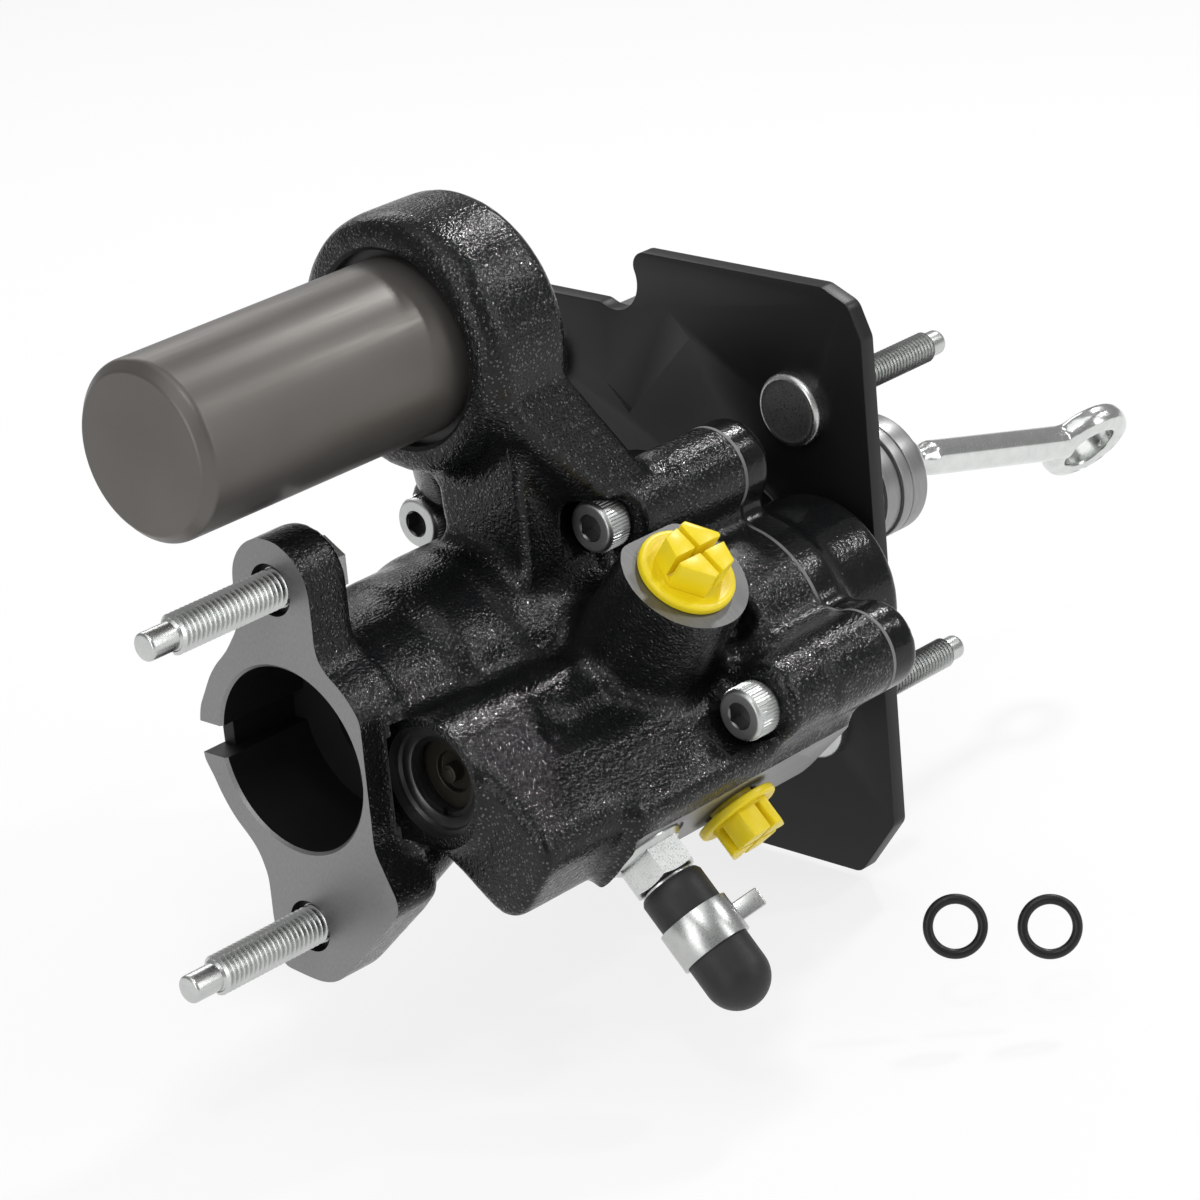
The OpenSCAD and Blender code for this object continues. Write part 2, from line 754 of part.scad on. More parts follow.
module input_plunger() color("silver") difference() {
    union() {
        chamfered_x(plunger_x0, plunger_x1, plunger_r, 0.8, 0.8);
        bar_x(plunger_x1 - 1, ball_x + 2.6, socket_r);
    }
    // slot for the lever
    translate([lever_x - lever_r - 1.5, -plunger_r - 1, lever_z - lever_t / 2 - lever_gap])
        cube([2 * lever_r + 3, 2 * plunger_r + 2, lever_t + 2 * lever_gap]);
    translate([lever_x, 0, lever_z - 12]) cylinder(r = pin_r, h = 24);
    // socket for the pedal rod's ball
    translate([ball_x, 0, 0]) sphere(r = ball_r + run);
    cone_x(ball_x, ball_x + 4, ball_r - 1.2, ball_r + 1.6);
}

module rod_collar() color("silver") difference() {
    chamfered_x(collar_x0, collar_x0 + collar_len, collar_r, 0.6, 0.6);
    bar_x(collar_x0 - 1, collar_x0 + collar_len + 1, socket_r);
}

module pedal_rod() color("silver") translate([ball_x, 0, 0]) rotate([0, rod_droop, 0]) difference() {
    union() {
        sphere(r = ball_r);
        bar_x(2, 9, 2.6);
        cone_x(7.5, 12, 2.6, rod_r);
        bar_x(12, rod_len - eye_r + 2.5, rod_r);
        translate([rod_len, 0, 0]) rotate([90 - eye_turn, 0, 0]) rotate_extrude() polygon([
            [0, -eye_t / 2], [eye_r - eye_bevel, -eye_t / 2], [eye_r, eye_bevel - eye_t / 2],
            [eye_r, eye_t / 2 - eye_bevel], [eye_r - eye_bevel, eye_t / 2], [0, eye_t / 2]
        ]);
    }
    translate([rod_len, 0, 0]) rotate([90 - eye_turn, 0, 0])
        translate([0, 0, -20]) cylinder(r = eye_hole_r, h = 40);
}

/* bracket */

module plate_2d() difference() {
    offset(r = 4) offset(delta = -4) difference() {
        polygon([
            [plate_right, plate_top - plate_corner],
            [plate_right + plate_corner * 0.3, plate_top - plate_corner * 0.3],
            [plate_right + plate_corner, plate_top],
            [notch_y + 3.5, plate_top], [notch_y + 3.5, step_z], [plate_left, step_z],
            [plate_left, plate_low + 14], [plate_left - 12, plate_low],
            [plate_right + 12, plate_low], [plate_right, plate_low + 16]
        ]);
        translate([notch_y + 6, step_z + notch_r - 1.4]) circle(r = notch_r);
    }
    circle(r = thread_r + 0.2);
    for (sy = [-1, 1]) for (sz = [-1, 1])
        translate([plate_y + sy * brk_span_y / 2, plate_z + sz * brk_span_z / 2])
            circle(r = brk_shank_r + seat);
}

module mounting_bracket() color("black") difference() {
    on_x(plate_x) linear_extrude(plate_t) plate_2d();
    bar_x(plate_x + plate_t - nut_sink, plate_x + plate_t + 1, nut_seat_r);
    translate([plate_x, crease_from[0], crease_from[1]])
        rotate([atan2(crease[1], crease[0]) - 90, 0, 0]) linear_extrude(norm(crease)) polygon([
            [-1, 0], [crease_deep, 0], [-1, -crease_w * (1 + 1 / crease_deep)]
        ]);
}

module bracket_studs() color("silver") for (sy = [-1, 1]) for (sz = [-1, 1])
    translate([0, plate_y + sy * brk_span_y / 2, plate_z + sz * brk_span_z / 2]) {
        chamfered_x(plate_x - brk_head_t, plate_x, brk_head_r, 0.8, 0);
        bar_x(plate_x - 1, plate_x + plate_t, brk_shank_r);
        tip_x = plate_x + plate_t + brk_stud_out;
        chamfered_x(plate_x - 0.5, tip_x - brk_dog_len, brk_stud_r, 0, 0.6);
        chamfered_x(tip_x - brk_dog_len - 1, tip_x, brk_dog_r, 0, 1.2);
    }

module bracket_nut() color("dimgray") on_x(plate_x + plate_t - nut_sink)
    linear_extrude(nut_t) difference() {
        hex_2d(nut_r * 1.78);
        circle(r = thread_r + seat);
    }

module snout_end_ring() color("dimgray") difference() {
    union() {
        chamfered_x(snout_x1, ring_end_x, end_ring_r, 0.6, 1);
        bar_x(seal_pocket_x + seal_len + 1, snout_x1 + 1, seal_pocket_r - seat);
    }
    bar_x(seal_pocket_x + seal_len, ring_end_x + 1, plunger_r + 0.3);
    // mouth that the drooping pedal rod swings in
    cone_x(mouth_x, ring_end_x + 0.01, plunger_r + 0.29, mouth_r);
}

module input_seal() color("black")
    tube_x(seal_pocket_x, seal_pocket_x + seal_len, seal_pocket_r - seat, plunger_r + run + 0.02);

module port_orings() color("black") translate(oring_at) rotate(oring_turn) rotate([oring_tilt, 0, 0])
    for (s = [-0.5, 0.5]) translate([s * oring_gap, 0, 0])
        rotate_extrude() translate([oring_r, 0]) circle(r = oring_wire, $fn = 16);

housing();
rear_cover();
cover_gasket();
accumulator_can();
accumulator_retainer();
accumulator_oring();
accumulator_piston();
flange_studs();
valve_plug();
valve_plug_ring();
cover_screws();
pressure_port_cap();
lower_port_cap();
return_fitting();
return_cap();
return_clamp();
mounting_bracket();
bracket_studs();
bracket_nut();
snout_end_ring();
input_seal();
power_piston();
piston_seal();
output_rod();
spring_seat();
return_spring();
spool_valve();
spool_spring();
valve_sleeve();
valve_lever();
lever_pin();
plunger_pin();
input_plunger();
rod_collar();
pedal_rod();
port_orings();
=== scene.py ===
"""Looks of a hydraulic brake booster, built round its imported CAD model. Pieces are made in millimetres."""

import json
import math

import bmesh
import bpy
import numpy as np
import openvdb
from mathutils import Matrix, Vector, noise

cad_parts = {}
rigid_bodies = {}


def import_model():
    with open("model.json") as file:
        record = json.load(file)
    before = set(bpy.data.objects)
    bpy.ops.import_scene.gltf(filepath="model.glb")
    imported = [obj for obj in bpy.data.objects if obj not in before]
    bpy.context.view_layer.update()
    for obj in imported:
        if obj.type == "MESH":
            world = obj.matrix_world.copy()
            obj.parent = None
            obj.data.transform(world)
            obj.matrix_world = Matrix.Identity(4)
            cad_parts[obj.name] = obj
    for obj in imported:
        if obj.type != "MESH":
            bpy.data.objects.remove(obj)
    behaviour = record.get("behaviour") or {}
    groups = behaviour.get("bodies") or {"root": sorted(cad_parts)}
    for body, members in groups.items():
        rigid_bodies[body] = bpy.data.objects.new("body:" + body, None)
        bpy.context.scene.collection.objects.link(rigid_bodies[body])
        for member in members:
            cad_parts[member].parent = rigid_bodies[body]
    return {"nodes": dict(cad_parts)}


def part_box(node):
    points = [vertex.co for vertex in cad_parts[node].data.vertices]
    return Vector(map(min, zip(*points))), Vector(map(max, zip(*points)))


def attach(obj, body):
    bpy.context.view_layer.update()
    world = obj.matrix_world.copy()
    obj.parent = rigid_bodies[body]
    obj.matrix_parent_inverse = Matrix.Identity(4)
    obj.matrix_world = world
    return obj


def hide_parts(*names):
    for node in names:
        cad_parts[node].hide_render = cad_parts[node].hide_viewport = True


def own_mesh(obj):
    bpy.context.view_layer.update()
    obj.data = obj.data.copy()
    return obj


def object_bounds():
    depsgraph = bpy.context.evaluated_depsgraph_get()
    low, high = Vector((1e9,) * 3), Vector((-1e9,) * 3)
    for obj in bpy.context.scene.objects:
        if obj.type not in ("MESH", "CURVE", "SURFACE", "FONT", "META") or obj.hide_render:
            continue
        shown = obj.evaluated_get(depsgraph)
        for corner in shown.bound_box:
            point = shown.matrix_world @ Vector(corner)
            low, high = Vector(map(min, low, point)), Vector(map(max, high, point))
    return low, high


for spare in list(bpy.data.objects):
    bpy.data.objects.remove(spare)
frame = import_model()
cad_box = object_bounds()

MM = 0.001
TAU = 2 * math.pi

# main sizes of the casting, in millimetres
FLANGE_T = 13.5
PILOT_R, PILOT_DEPTH = 23.1, 27
SLOT_W, SLOT_OPEN, SLOT_R = 9.5, 7, 27.3
SLOT_LOW, SLOT_TOP = -4.75, 3.4
ROD_HOLE_R, SEAT_WALL_X = 12, 36
BORE_R = 19
PART_X = 124
STUD_HOLE_R, STUD_RECESS_R, STUD_RECESS, STUD_ROOM_R = 5.15, 6.5, 3, 9.2
VALVE_Y, VALVE_Z = -33.6, -2.5
VALVE_FACE_X, VALVE_RING_R, VALVE_RING_X = 12.2, 13.8, 14.3
PLUG_R, PLUG_X = 10, 19.5
SPOOL_BORE_X, SPOOL_R, SLEEVE_BORE_X, SLEEVE_BORE_R = 32, 7.5, 88, 10
LEVER_X, LEVER_Y, LEVER_Z = 87, (-33.6, 0), (-4.95, 2.45)
CAN_Y, CAN_Z, CAN_R = 8, 83.2, 22
RING_X, RING_MOUTH_R, CAN_SEAT_X, CAN_END_X, CAN_WALL = 54, 24.2, 61.5, 74, 3
PORT_R, PORT_DEPTH = 6.2, 13
# upper port: x, tilt in degrees and height of its face over the valve's axis
UPPER_PORT, UPPER_FACE_R = (77, 36, 42), 22
FACET_X, FACET_D, FACET_TURN = 41, 38, 135
RETURN_X, RETURN_SINK = 53, 0.6
LOWER_PORT_X = 84
SCREW_R, SCREW_SEAT_X = 4, 88
GASKET_X = 125

# sizes of the cover, its snout and the end ring
COVER_ROOM_X, VALVE_ROOM_X, SCREW_HOLE_X = 136, 140, 138
COVER_BACK_X, PLUNGER_R = 159.5, 8.05
SNOUT_X, NUT_SEAT_R, SNOUT_R, SNOUT_END_X = 158, 17, 15.5, 208
END_RING_R, END_RING_X, END_RING_END_X = 16.3, 204, 218

# studs and screws: radius over the thread, pitch, width of the hexagon
STUD_R, STUD_PITCH, STUD_FLATS = 4.9, 1.5, 12.6
REAR_STUD_R, REAR_STUD_PITCH = 4.0, 1.25
SCREW_HEAD, SCREW_HEAD_R, SCREW_TIP_X, SOCKET_FLATS, SOCKET_DEPTH = 8, 6.45, 137, 6, 4

# return fitting: heights over the valve's axis at which its face, cap and clamp begin
RETURN_D = FACET_D - RETURN_SINK
RETURN_CAP_D = RETURN_D + 10
CLAMP_D = RETURN_CAP_D + 9.7

# pedal rod: place of its ball, length to the eye, angles, and the eye's sizes
BALL_X, BALL_R = 226, 4.6
ROD_LENGTH, ROD_R, ROD_DROOP, EYE_TURN = 82, 4.75, 14, -41
EYE_HOLE_R, EYE_R, EYE_T = 7.8, 13.4, 7.5

# springs: x of the fixed end and stroke
RETURN_SPRING = (37.5, 26.01)
SPOOL_SPRING = (27, 3)


def deg(angle):
    return math.radians(angle)


def spun(angle, about="Z"):
    return Matrix.Rotation(deg(angle), 4, about)


def place(x, y, z, turn=0.0, about="X"):
    return Matrix.Translation((x, y, z)) @ spun(turn, about)


# frames whose local Z is the axis of a part
FORWARD = spun(90, "Y")


def along_x(y, z):
    return place(0, y, z) @ FORWARD


def facet_at(x):
    return place(x, VALVE_Y, VALVE_Z, FACET_TURN)


VALVE, CAN = along_x(VALVE_Y, VALVE_Z), along_x(CAN_Y, CAN_Z)
UPPER = place(UPPER_PORT[0], VALVE_Y, VALVE_Z, UPPER_PORT[1])

# lays an outline drawn in (y, z) so that it is extruded along X
UPRIGHT = Matrix(((0, 0, 1, 0), (1, 0, 0, 0), (0, 1, 0, 0), (0, 0, 0, 1)))


# solids as (points, faces), in millimetres

def moved(solid, matrix):
    points, faces = solid
    return [matrix @ Vector(p) for p in points], faces


def joined(*solids):
    points, faces = [], []
    for more, rings in solids:
        first = len(points)
        points += [Vector(p) for p in more]
        faces += [[first + i for i in ring] for ring in rings]
    return points, faces


def lathe(profile, around=96):
    """Spins (radius, height) points about Z. A profile that ends off the axis is closed on itself."""
    points, faces, rows = [], [], []
    for r, z in profile:
        first = len(points)
        if r < 1e-6:
            points.append((0, 0, z))
            rows.append([first])
        else:
            turns = [TAU * k / around for k in range(around)]
            points += [(r * math.cos(turn), r * math.sin(turn), z) for turn in turns]
            rows.append(list(range(first, first + around)))
    pairs = list(zip(rows, rows[1:]))
    if profile[0][0] > 1e-6 and profile[-1][0] > 1e-6:
        pairs.append((rows[-1], rows[0]))
    for low, high in pairs:
        for k in range(around):
            n = k + 1
            ring = [low[k % len(low)], low[n % len(low)], high[n % len(high)], high[k % len(high)]]
            ring = list(dict.fromkeys(ring))
            if len(ring) > 2:
                faces.append(ring)
    return points, faces


def bar(z0, z1, r, around=96):
    return lathe([(0, z0), (r, z0), (r, z1), (0, z1)], around)


def tube(z0, z1, outer, inner, around=96):
    return lathe([(outer, z0), (outer, z1), (inner, z1), (inner, z0)], around)


def box(low, high):
    corners = [(x, y, z) for x in (low[0], high[0]) for y in (low[1], high[1]) for z in (low[2], high[2])]
    return corners, [[0, 1, 3, 2], [4, 6, 7, 5], [0, 4, 5, 1], [2, 3, 7, 6], [0, 2, 6, 4], [1, 5, 7, 3]]


def slab(x0, x1):
    """All the room between two planes across the part."""
    return box((x0, -120, -120), (x1, 120, 140))


def prism(outline, z0, z1):
    count = len(outline)
    points = [(x, y, z0) for x, y in outline] + [(x, y, z1) for x, y in outline]
    sides = [[k, (k + 1) % count, count + (k + 1) % count, count + k] for k in range(count)]
    return points, [list(range(count))[::-1], list(range(count, 2 * count))] + sides


def hexagon(flats, turn=0.0):
    r = flats / math.sqrt(3)
    return [(r * math.cos(deg(60 * k + turn)), r * math.sin(deg(60 * k + turn))) for k in range(6)]


def rounded(corners, steps=4):
    """Profile from (radius, height, rounding) corners; each rounding is kept inside its two edges."""
    out = []
    for i, (r, z, c) in enumerate(corners):
        if c <= 0 or i in (0, len(corners) - 1):
            out.append((r, z))
            continue
        here = Vector((r, z))
        before, after = Vector(corners[i - 1][:2]) - here, Vector(corners[i + 1][:2]) - here
        reach = min(c, 0.49 * before.length, 0.49 * after.length)
        start, end = here + before.normalized() * reach, here + after.normalized() * reach
        for k in range(steps + 1):
            t = k / steps
            p = start * (1 - t) ** 2 + here * 2 * t * (1 - t) + end * t ** 2
            out.append((p.x, p.y))
    return out


# meshes and objects

def mesh_of(name, solid, material=None):
    points, faces = solid
    mesh = bpy.data.meshes.new(name)
    mesh.from_pydata([tuple(c * MM for c in p) for p in points], [], faces)
    work = bmesh.new()
    work.from_mesh(mesh)
    bmesh.ops.remove_doubles(work, verts=work.verts, dist=1e-7)
    bmesh.ops.recalc_face_normals(work, faces=work.faces)
    work.to_mesh(mesh)
    work.free()
    if material:
        mesh.materials.append(material)
    return mesh


def mesh_solid(mesh, matrix=Matrix.Identity(4)):
    """A mesh back as (points, faces) in millimetres."""
    return [matrix @ (v.co / MM) for v in mesh.vertices], [list(p.vertices) for p in mesh.polygons]


def thing(name, mesh):
    obj = bpy.data.objects.new(name, mesh)
    bpy.context.scene.collection.objects.link(obj)
    return obj


def lifted(obj):
    """The mesh of an object as (points, faces) in millimetres; the object goes."""
    solid = mesh_solid(obj.data)
    bpy.data.objects.remove(obj)
    return solid


def settled(obj):
    """Turns what the object's modifiers make into its plain mesh."""
    graph = bpy.context.evaluated_depsgraph_get()
    made = bpy.data.meshes.new_from_object(obj.evaluated_get(graph))
    old = obj.data
    obj.modifiers.clear()
    obj.data = made
    bpy.data.meshes.remove(old)
    return obj


def carve(obj, solids, how="DIFFERENCE"):
    """Cuts solids, given as (solid, material) pairs, out of an object, or keeps only what they share."""
    tools = bpy.data.collections.new("tools")
    bpy.context.scene.collection.children.link(tools)
    for solid, material in solids:
        tools.objects.link(bpy.data.objects.new("tool", mesh_of("tool", solid, material)))
    cut = obj.modifiers.new("cut", "BOOLEAN")
    cut.operand_type, cut.collection = "COLLECTION", tools
    cut.operation, cut.solver = how, "MANIFOLD"
    cut.material_mode = "TRANSFER"
    settled(obj)
    for tool in list(tools.objects):
        mesh = tool.data
        bpy.data.objects.remove(tool)
        bpy.data.meshes.remove(mesh)
    bpy.data.collections.remove(tools)
    return obj


def shaded(obj, sharp=32):
    obj.data.shade_smooth()
    obj.data.set_sharp_from_angle(angle=deg(sharp))
    return obj


def piece(name, solid, material, sharp=32):
    return shaded(thing(name, mesh_of(name, solid, material)), sharp)


def turned(name, profile, matrix, material, around=96, sharp=32):
    """A piece that is its profile spun about the frame's Z."""
    return piece(name, moved(lathe(profile, around), matrix), material, sharp)


def bevelled(obj, width, segments=2, angle=35):
    edge = obj.modifiers.new("edge", "BEVEL")
    edge.width, edge.segments = width * MM, segments
    edge.limit_method, edge.angle_limit = "ANGLE", deg(angle)
    edge.use_clamp_overlap = True
    return settled(obj)


def cad_copy(node, flat=0.5):
    """The mesh of a CAD node, merged, with its flat stretches joined into single faces."""
    mesh = frame["nodes"][node].data.copy()
    work = bmesh.new()
    work.from_mesh(mesh)
    bmesh.ops.remove_doubles(work, verts=work.verts, dist=1e-6)
    if flat:
        bmesh.ops.dissolve_limit(work, angle_limit=deg(flat), verts=work.verts, edges=work.edges)
    work.to_mesh(mesh)
    work.free()
    if mesh.has_custom_normals:
        mesh.normals_split_custom_set([(0, 0, 0)] * len(mesh.loops))
    mesh.materials.clear()
    return mesh


def boxes(node):
    """Lowest and highest corner, in millimetres, of each separate solid of a CAD node."""
    mesh = cad_copy(node, 0)
    work = bmesh.new()
    work.from_mesh(mesh)
    left, found = set(work.verts), []
    while left:
        group, edge = set(), [next(iter(left))]
        while edge:
            v = edge.pop()
            if v in group:
                continue
            group.add(v)
            edge += [e.other_vert(v) for e in v.link_edges]
        left -= group
        co = np.array([v.co[:] for v in group]) / MM
        found.append((co.min(0), co.max(0)))
    work.free()
    bpy.data.meshes.remove(mesh)
    return sorted(found, key=lambda b: tuple(np.round(b[0], 2)))


def reach_x(node):
    """Lowest and highest x of a CAD node, in millimetres."""
    low, high = (np.array(c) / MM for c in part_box(node))
    return low[0], high[0]


def dress(obj, body, node):
    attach(obj, body)
    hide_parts(node)


# node trees

class Graph:
    """Adds nodes to a tree; a socket given as an input is linked, anything else becomes its value."""

    def __init__(self, tree):
        self.tree = tree

    def add(self, kind, ins=None, out=0, **settings):
        node = self.tree.nodes.new(kind)
        for key, value in settings.items():
            setattr(node, key, value)
        for key, value in (ins or {}).items():
            if isinstance(value, bpy.types.NodeSocket):
                self.tree.links.new(value, node.inputs[key])
            else:
                node.inputs[key].default_value = value
        return node.outputs[out]

    def math(self, how, a, b=0.0):
        return self.add("ShaderNodeMath", {0: a, 1: b}, operation=how)

    def times(self, a, b):
        return self.math("MULTIPLY", a, b)

    def plus(self, a, b):
        return self.math("ADD", a, b)

    def mix(self, factor, a, b):
        return self.add("ShaderNodeMix", {0: factor, 6: a, 7: b}, 2, data_type="RGBA")

    def spread(self, value, low=0.3, high=0.7, to_low=0.0, to_high=1.0):
        ins = {"Value": value, "From Min": low, "From Max": high, "To Min": to_low, "To Max": to_high}
        return self.add("ShaderNodeMapRange", ins)

    def noise(self, at, scale, detail=3.0, rough=0.5, warp=0.0):
        ins = {"Vector": at, "Scale": scale, "Detail": detail, "Roughness": rough, "Distortion": warp}
        return self.add("ShaderNodeTexNoise", ins)


def grey(v):
    return (v, v, v, 1)


class Finish(Graph):
    """A surface: a principled shader whose patterns are read in object coordinates."""

    def __init__(self, name, **values):
        self.material = bpy.data.materials.new(name)
        self.material.use_nodes = True
        super().__init__(self.material.node_tree)
        self.shader = self.tree.nodes["Principled BSDF"]
        self.at = self.add("ShaderNodeTexCoord", out=3)
        self.set(**values)

    def set(self, **values):
        for key, value in values.items():
            socket = self.shader.inputs[key.replace("_", " ")]
            if isinstance(value, bpy.types.NodeSocket):
                self.tree.links.new(value, socket)
            else:
                socket.default_value = value

    def colour(self, by, low, high):
        self.set(Base_Color=self.mix(by, low, high))

    def roughness(self, by, low, high):
        self.set(Roughness=self.spread(by, 0.3, 0.7, low, high))

    def stretched(self, x, y, z):
        return self.add("ShaderNodeMapping", {"Vector": self.at, "Scale": (x, y, z)})

    def bump(self, height, depth, strength):
        ins = {"Height": height, "Distance": depth * MM, "Strength": strength}
        self.set(Normal=self.add("ShaderNodeBump", ins))


# cells to the metre of the bright grains in the cast paint
GRAIN_SCALE = 1200.0


def cast_paint(name, coarse, share):
    """Black paint over sand-cast iron: fine wrinkles, and a share of round bright grains that glint."""
    f = Finish(name, Specular_IOR_Level=0.26)
    grain = f.noise(f.at, 1150, 2, 0.5)
    swell = f.noise(f.at, 240, 2, 0.5, 0.3)
    patch = f.noise(f.at, 60, 2)
    cell = f.add("ShaderNodeTexVoronoi", {"Vector": f.at, "Scale": GRAIN_SCALE})
    lot = f.add("ShaderNodeTexVoronoi", {"Vector": f.at, "Scale": GRAIN_SCALE}, 1)
    # one cell in a few holds a grain, and more of them where the patch is coarse
    chosen = f.math("GREATER_THAN", lot, f.spread(patch, 0.35, 0.65, 1 - 0.55 * share, 1 - share))
    bead = f.times(f.math("LESS_THAN", cell, 0.36), chosen)
    dome = f.times(f.spread(f.times(cell, cell), 0.0, 0.13, 1.0, 0.0), chosen)
    wrinkle = f.times(grain, f.math("SUBTRACT", 1.0, dome))
    height = f.plus(f.times(wrinkle, coarse), f.times(dome, 0.17 + coarse * 0.5))
    height = f.plus(height, f.times(swell, coarse * 0.6))
    f.bump(height, 0.3, 1.0)
    black = f.mix(f.spread(grain, 0.35, 0.7), (0.0045, 0.005, 0.0052, 1), (0.008, 0.0086, 0.0088, 1))
    f.set(Base_Color=f.mix(bead, black, grey(0.1)), Metallic=bead)
    rough = f.spread(swell, 0.3, 0.7, 0.15, 0.24)
    f.set(Roughness=f.times(rough, f.spread(bead, 0.0, 1.0, 1.0, 0.6)))
    return f.material


def smooth_paint(name, shade, rough):
    f = Finish(name, Specular_IOR_Level=0.3)
    peel = f.noise(f.at, 420, 2)
    wipe = f.noise(f.at, 25, 3)
    f.bump(peel, 0.05, 0.5)
    f.colour(wipe, grey(shade * 0.8), grey(shade * 1.25))
    f.roughness(wipe, rough - 0.05, rough + 0.06)
    return f.material


def machined(name, shade, rough, lay=(60, 2600, 900), metallic=0.85, depth=0.03, tint=(1, 1, 1)):
    """Bare metal with the fine parallel lines of a cutter."""
    f = Finish(name, Metallic=metallic)
    lines = f.noise(f.stretched(*lay), 1.0, 3, 0.6)
    cloud = f.noise(f.at, 60, 3)
    f.bump(lines, depth, 0.6)
    tone = f.plus(f.times(lines, 0.6), f.times(cloud, 0.4))
    low, high = ([shade * share * c for c in tint] + [1] for share in (0.82, 1.15))
    f.colour(f.spread(tone), low, high)
    f.roughness(cloud, rough - 0.05, rough + 0.07)
    return f.material


def zinc(name="zinc", shade=0.62, rough=0.3):
    f = Finish(name, Metallic=1.0)
    cloud = f.noise(f.at, 260, 4, 0.6)
    fine = f.noise(f.at, 2600, 2)
    f.bump(f.plus(fine, f.times(cloud, 1.2)), 0.008, 0.5)
    low = (shade * 0.86, shade * 0.89, shade * 0.87, 1)
    high = (shade * 0.98, shade, shade * 0.97, 1)
    f.colour(f.spread(cloud), low, high)
    f.roughness(fine, rough - 0.06, rough + 0.08)
    return f.material


def can_coat():
    f = Finish("can_coat", Metallic=0.55, Specular_IOR_Level=0.4)
    drawn = f.noise(f.stretched(40, 900, 900), 1.0, 3, 0.6)
    cloud = f.noise(f.at, 30, 2)
    f.bump(drawn, 0.012, 0.5)
    f.colour(f.spread(cloud), (0.112, 0.104, 0.096, 1), (0.132, 0.123, 0.114, 1))
    f.roughness(drawn, 0.36, 0.44)
    return f.material


def yellow_plastic():
    f = Finish("yellow_plastic", Subsurface_Weight=0.12, Subsurface_Scale=0.002, Specular_IOR_Level=0.4)
    f.shader.inputs["Subsurface Radius"].default_value = (1.0, 0.7, 0.1)
    flow = f.noise(f.at, 120, 3)
    skin = f.noise(f.at, 1400, 2)
    f.bump(skin, 0.02, 0.4)
    f.colour(flow, (0.80, 0.62, 0.008, 1), (0.86, 0.68, 0.012, 1))
    f.roughness(skin, 0.32, 0.42)
    return f.material


def rubber(name="rubber", shade=0.018, rough=0.5):
    f = Finish(name, Specular_IOR_Level=0.35)
    grain = f.noise(f.at, 1800, 3, 0.6)
    dust = f.noise(f.at, 90, 3)
    f.bump(grain, 0.03, 0.5)
    f.colour(f.spread(dust, 0.35, 0.7), grey(shade * 0.8), grey(shade * 1.3))
    f.roughness(grain, rough - 0.08, rough + 0.08)
    return f.material


PAINT = cast_paint("cast_paint", 0.85, 0.6)
COVER_PAINT = cast_paint("cover_paint", 0.3, 0.12)
SATIN = smooth_paint("bracket_satin", 0.008, 0.4)
FACE = machined("machined_face", 0.26, 0.42)
# bores and recesses: machined metal coloured darker than the faces, as painted shade inside them
BORE_PAINTED_SHADE = machined("machined_bore", 0.085, 0.38, (2200, 500, 500))
PORT_FACE = machined("port_face", 0.16, 0.4, (2400, 120, 120), depth=0.04)
OILED = machined("oiled_steel", 0.10, 0.36, (900, 900, 900), 0.9, 0.02)
BAND = machined("snout_band", 0.30, 0.38, (2600, 200, 200))
ZINC = zinc()
SCREW_ZINC = zinc("screw_zinc", 0.6, 0.42)
# darker zinc for the inside of the hexagon sockets: painted shade in the recess
SOCKET_PAINTED_SHADE = zinc("screw_socket", 0.2, 0.36)
CHROME = zinc("bright_rod", 0.74, 0.2)
CLAMP = zinc("clamp_band", 0.55, 0.3)
GROUND = zinc("ground_steel", 0.5, 0.22)
CAN_COAT = can_coat()
YELLOW = yellow_plastic()
RUBBER = rubber()
SEAL = rubber("seal_rubber", 0.009, 0.4)
GASKET = rubber("gasket_sheet", 0.16, 0.6)
PLUG_FACE = machined("plug_face", 0.035, 0.42, (900, 900, 900), 0.7, 0.01, (1.15, 1.0, 0.78))
PILOT = smooth_paint("pilot_bore", 0.008, 0.5)
OXIDE = machined("black_oxide", 0.03, 0.35, (500, 500, 500), 0.7, 0.01)


# cast pieces: a grown and shrunk skin over the CAD solid, then cut where the real one is machined

# voxels to either side of the surface
SKIN_REACH = 5.0


def level_set(points, spacing, **shape):
    """The shape as a signed distance field that reaches SKIN_REACH voxels to either side."""
    build = openvdb.FloatGrid.createLevelSetFromPolygons
    return build(points, transform=spacing, halfWidth=SKIN_REACH, **shape)


def cast_skin(soup, voxel=0.9, fillet=3.0, edge=1.2):
    """Fills inner corners and rounds outer edges. Both radii stay under SKIN_REACH voxels."""
    soup.calc_loop_triangles()
    points = np.array([v.co[:] for v in soup.vertices], np.float32) / MM
    triangles = np.array([t.vertices[:] for t in soup.loop_triangles], np.uint32)
    spacing = openvdb.createLinearTransform(voxel)
    points, quads = level_set(points, spacing, triangles=triangles).convertToQuads(0.0)
    for shift in (fillet, -fillet, -edge, edge):
        points, quads = level_set(points, spacing, quads=quads).convertToQuads(shift)
    return points, quads


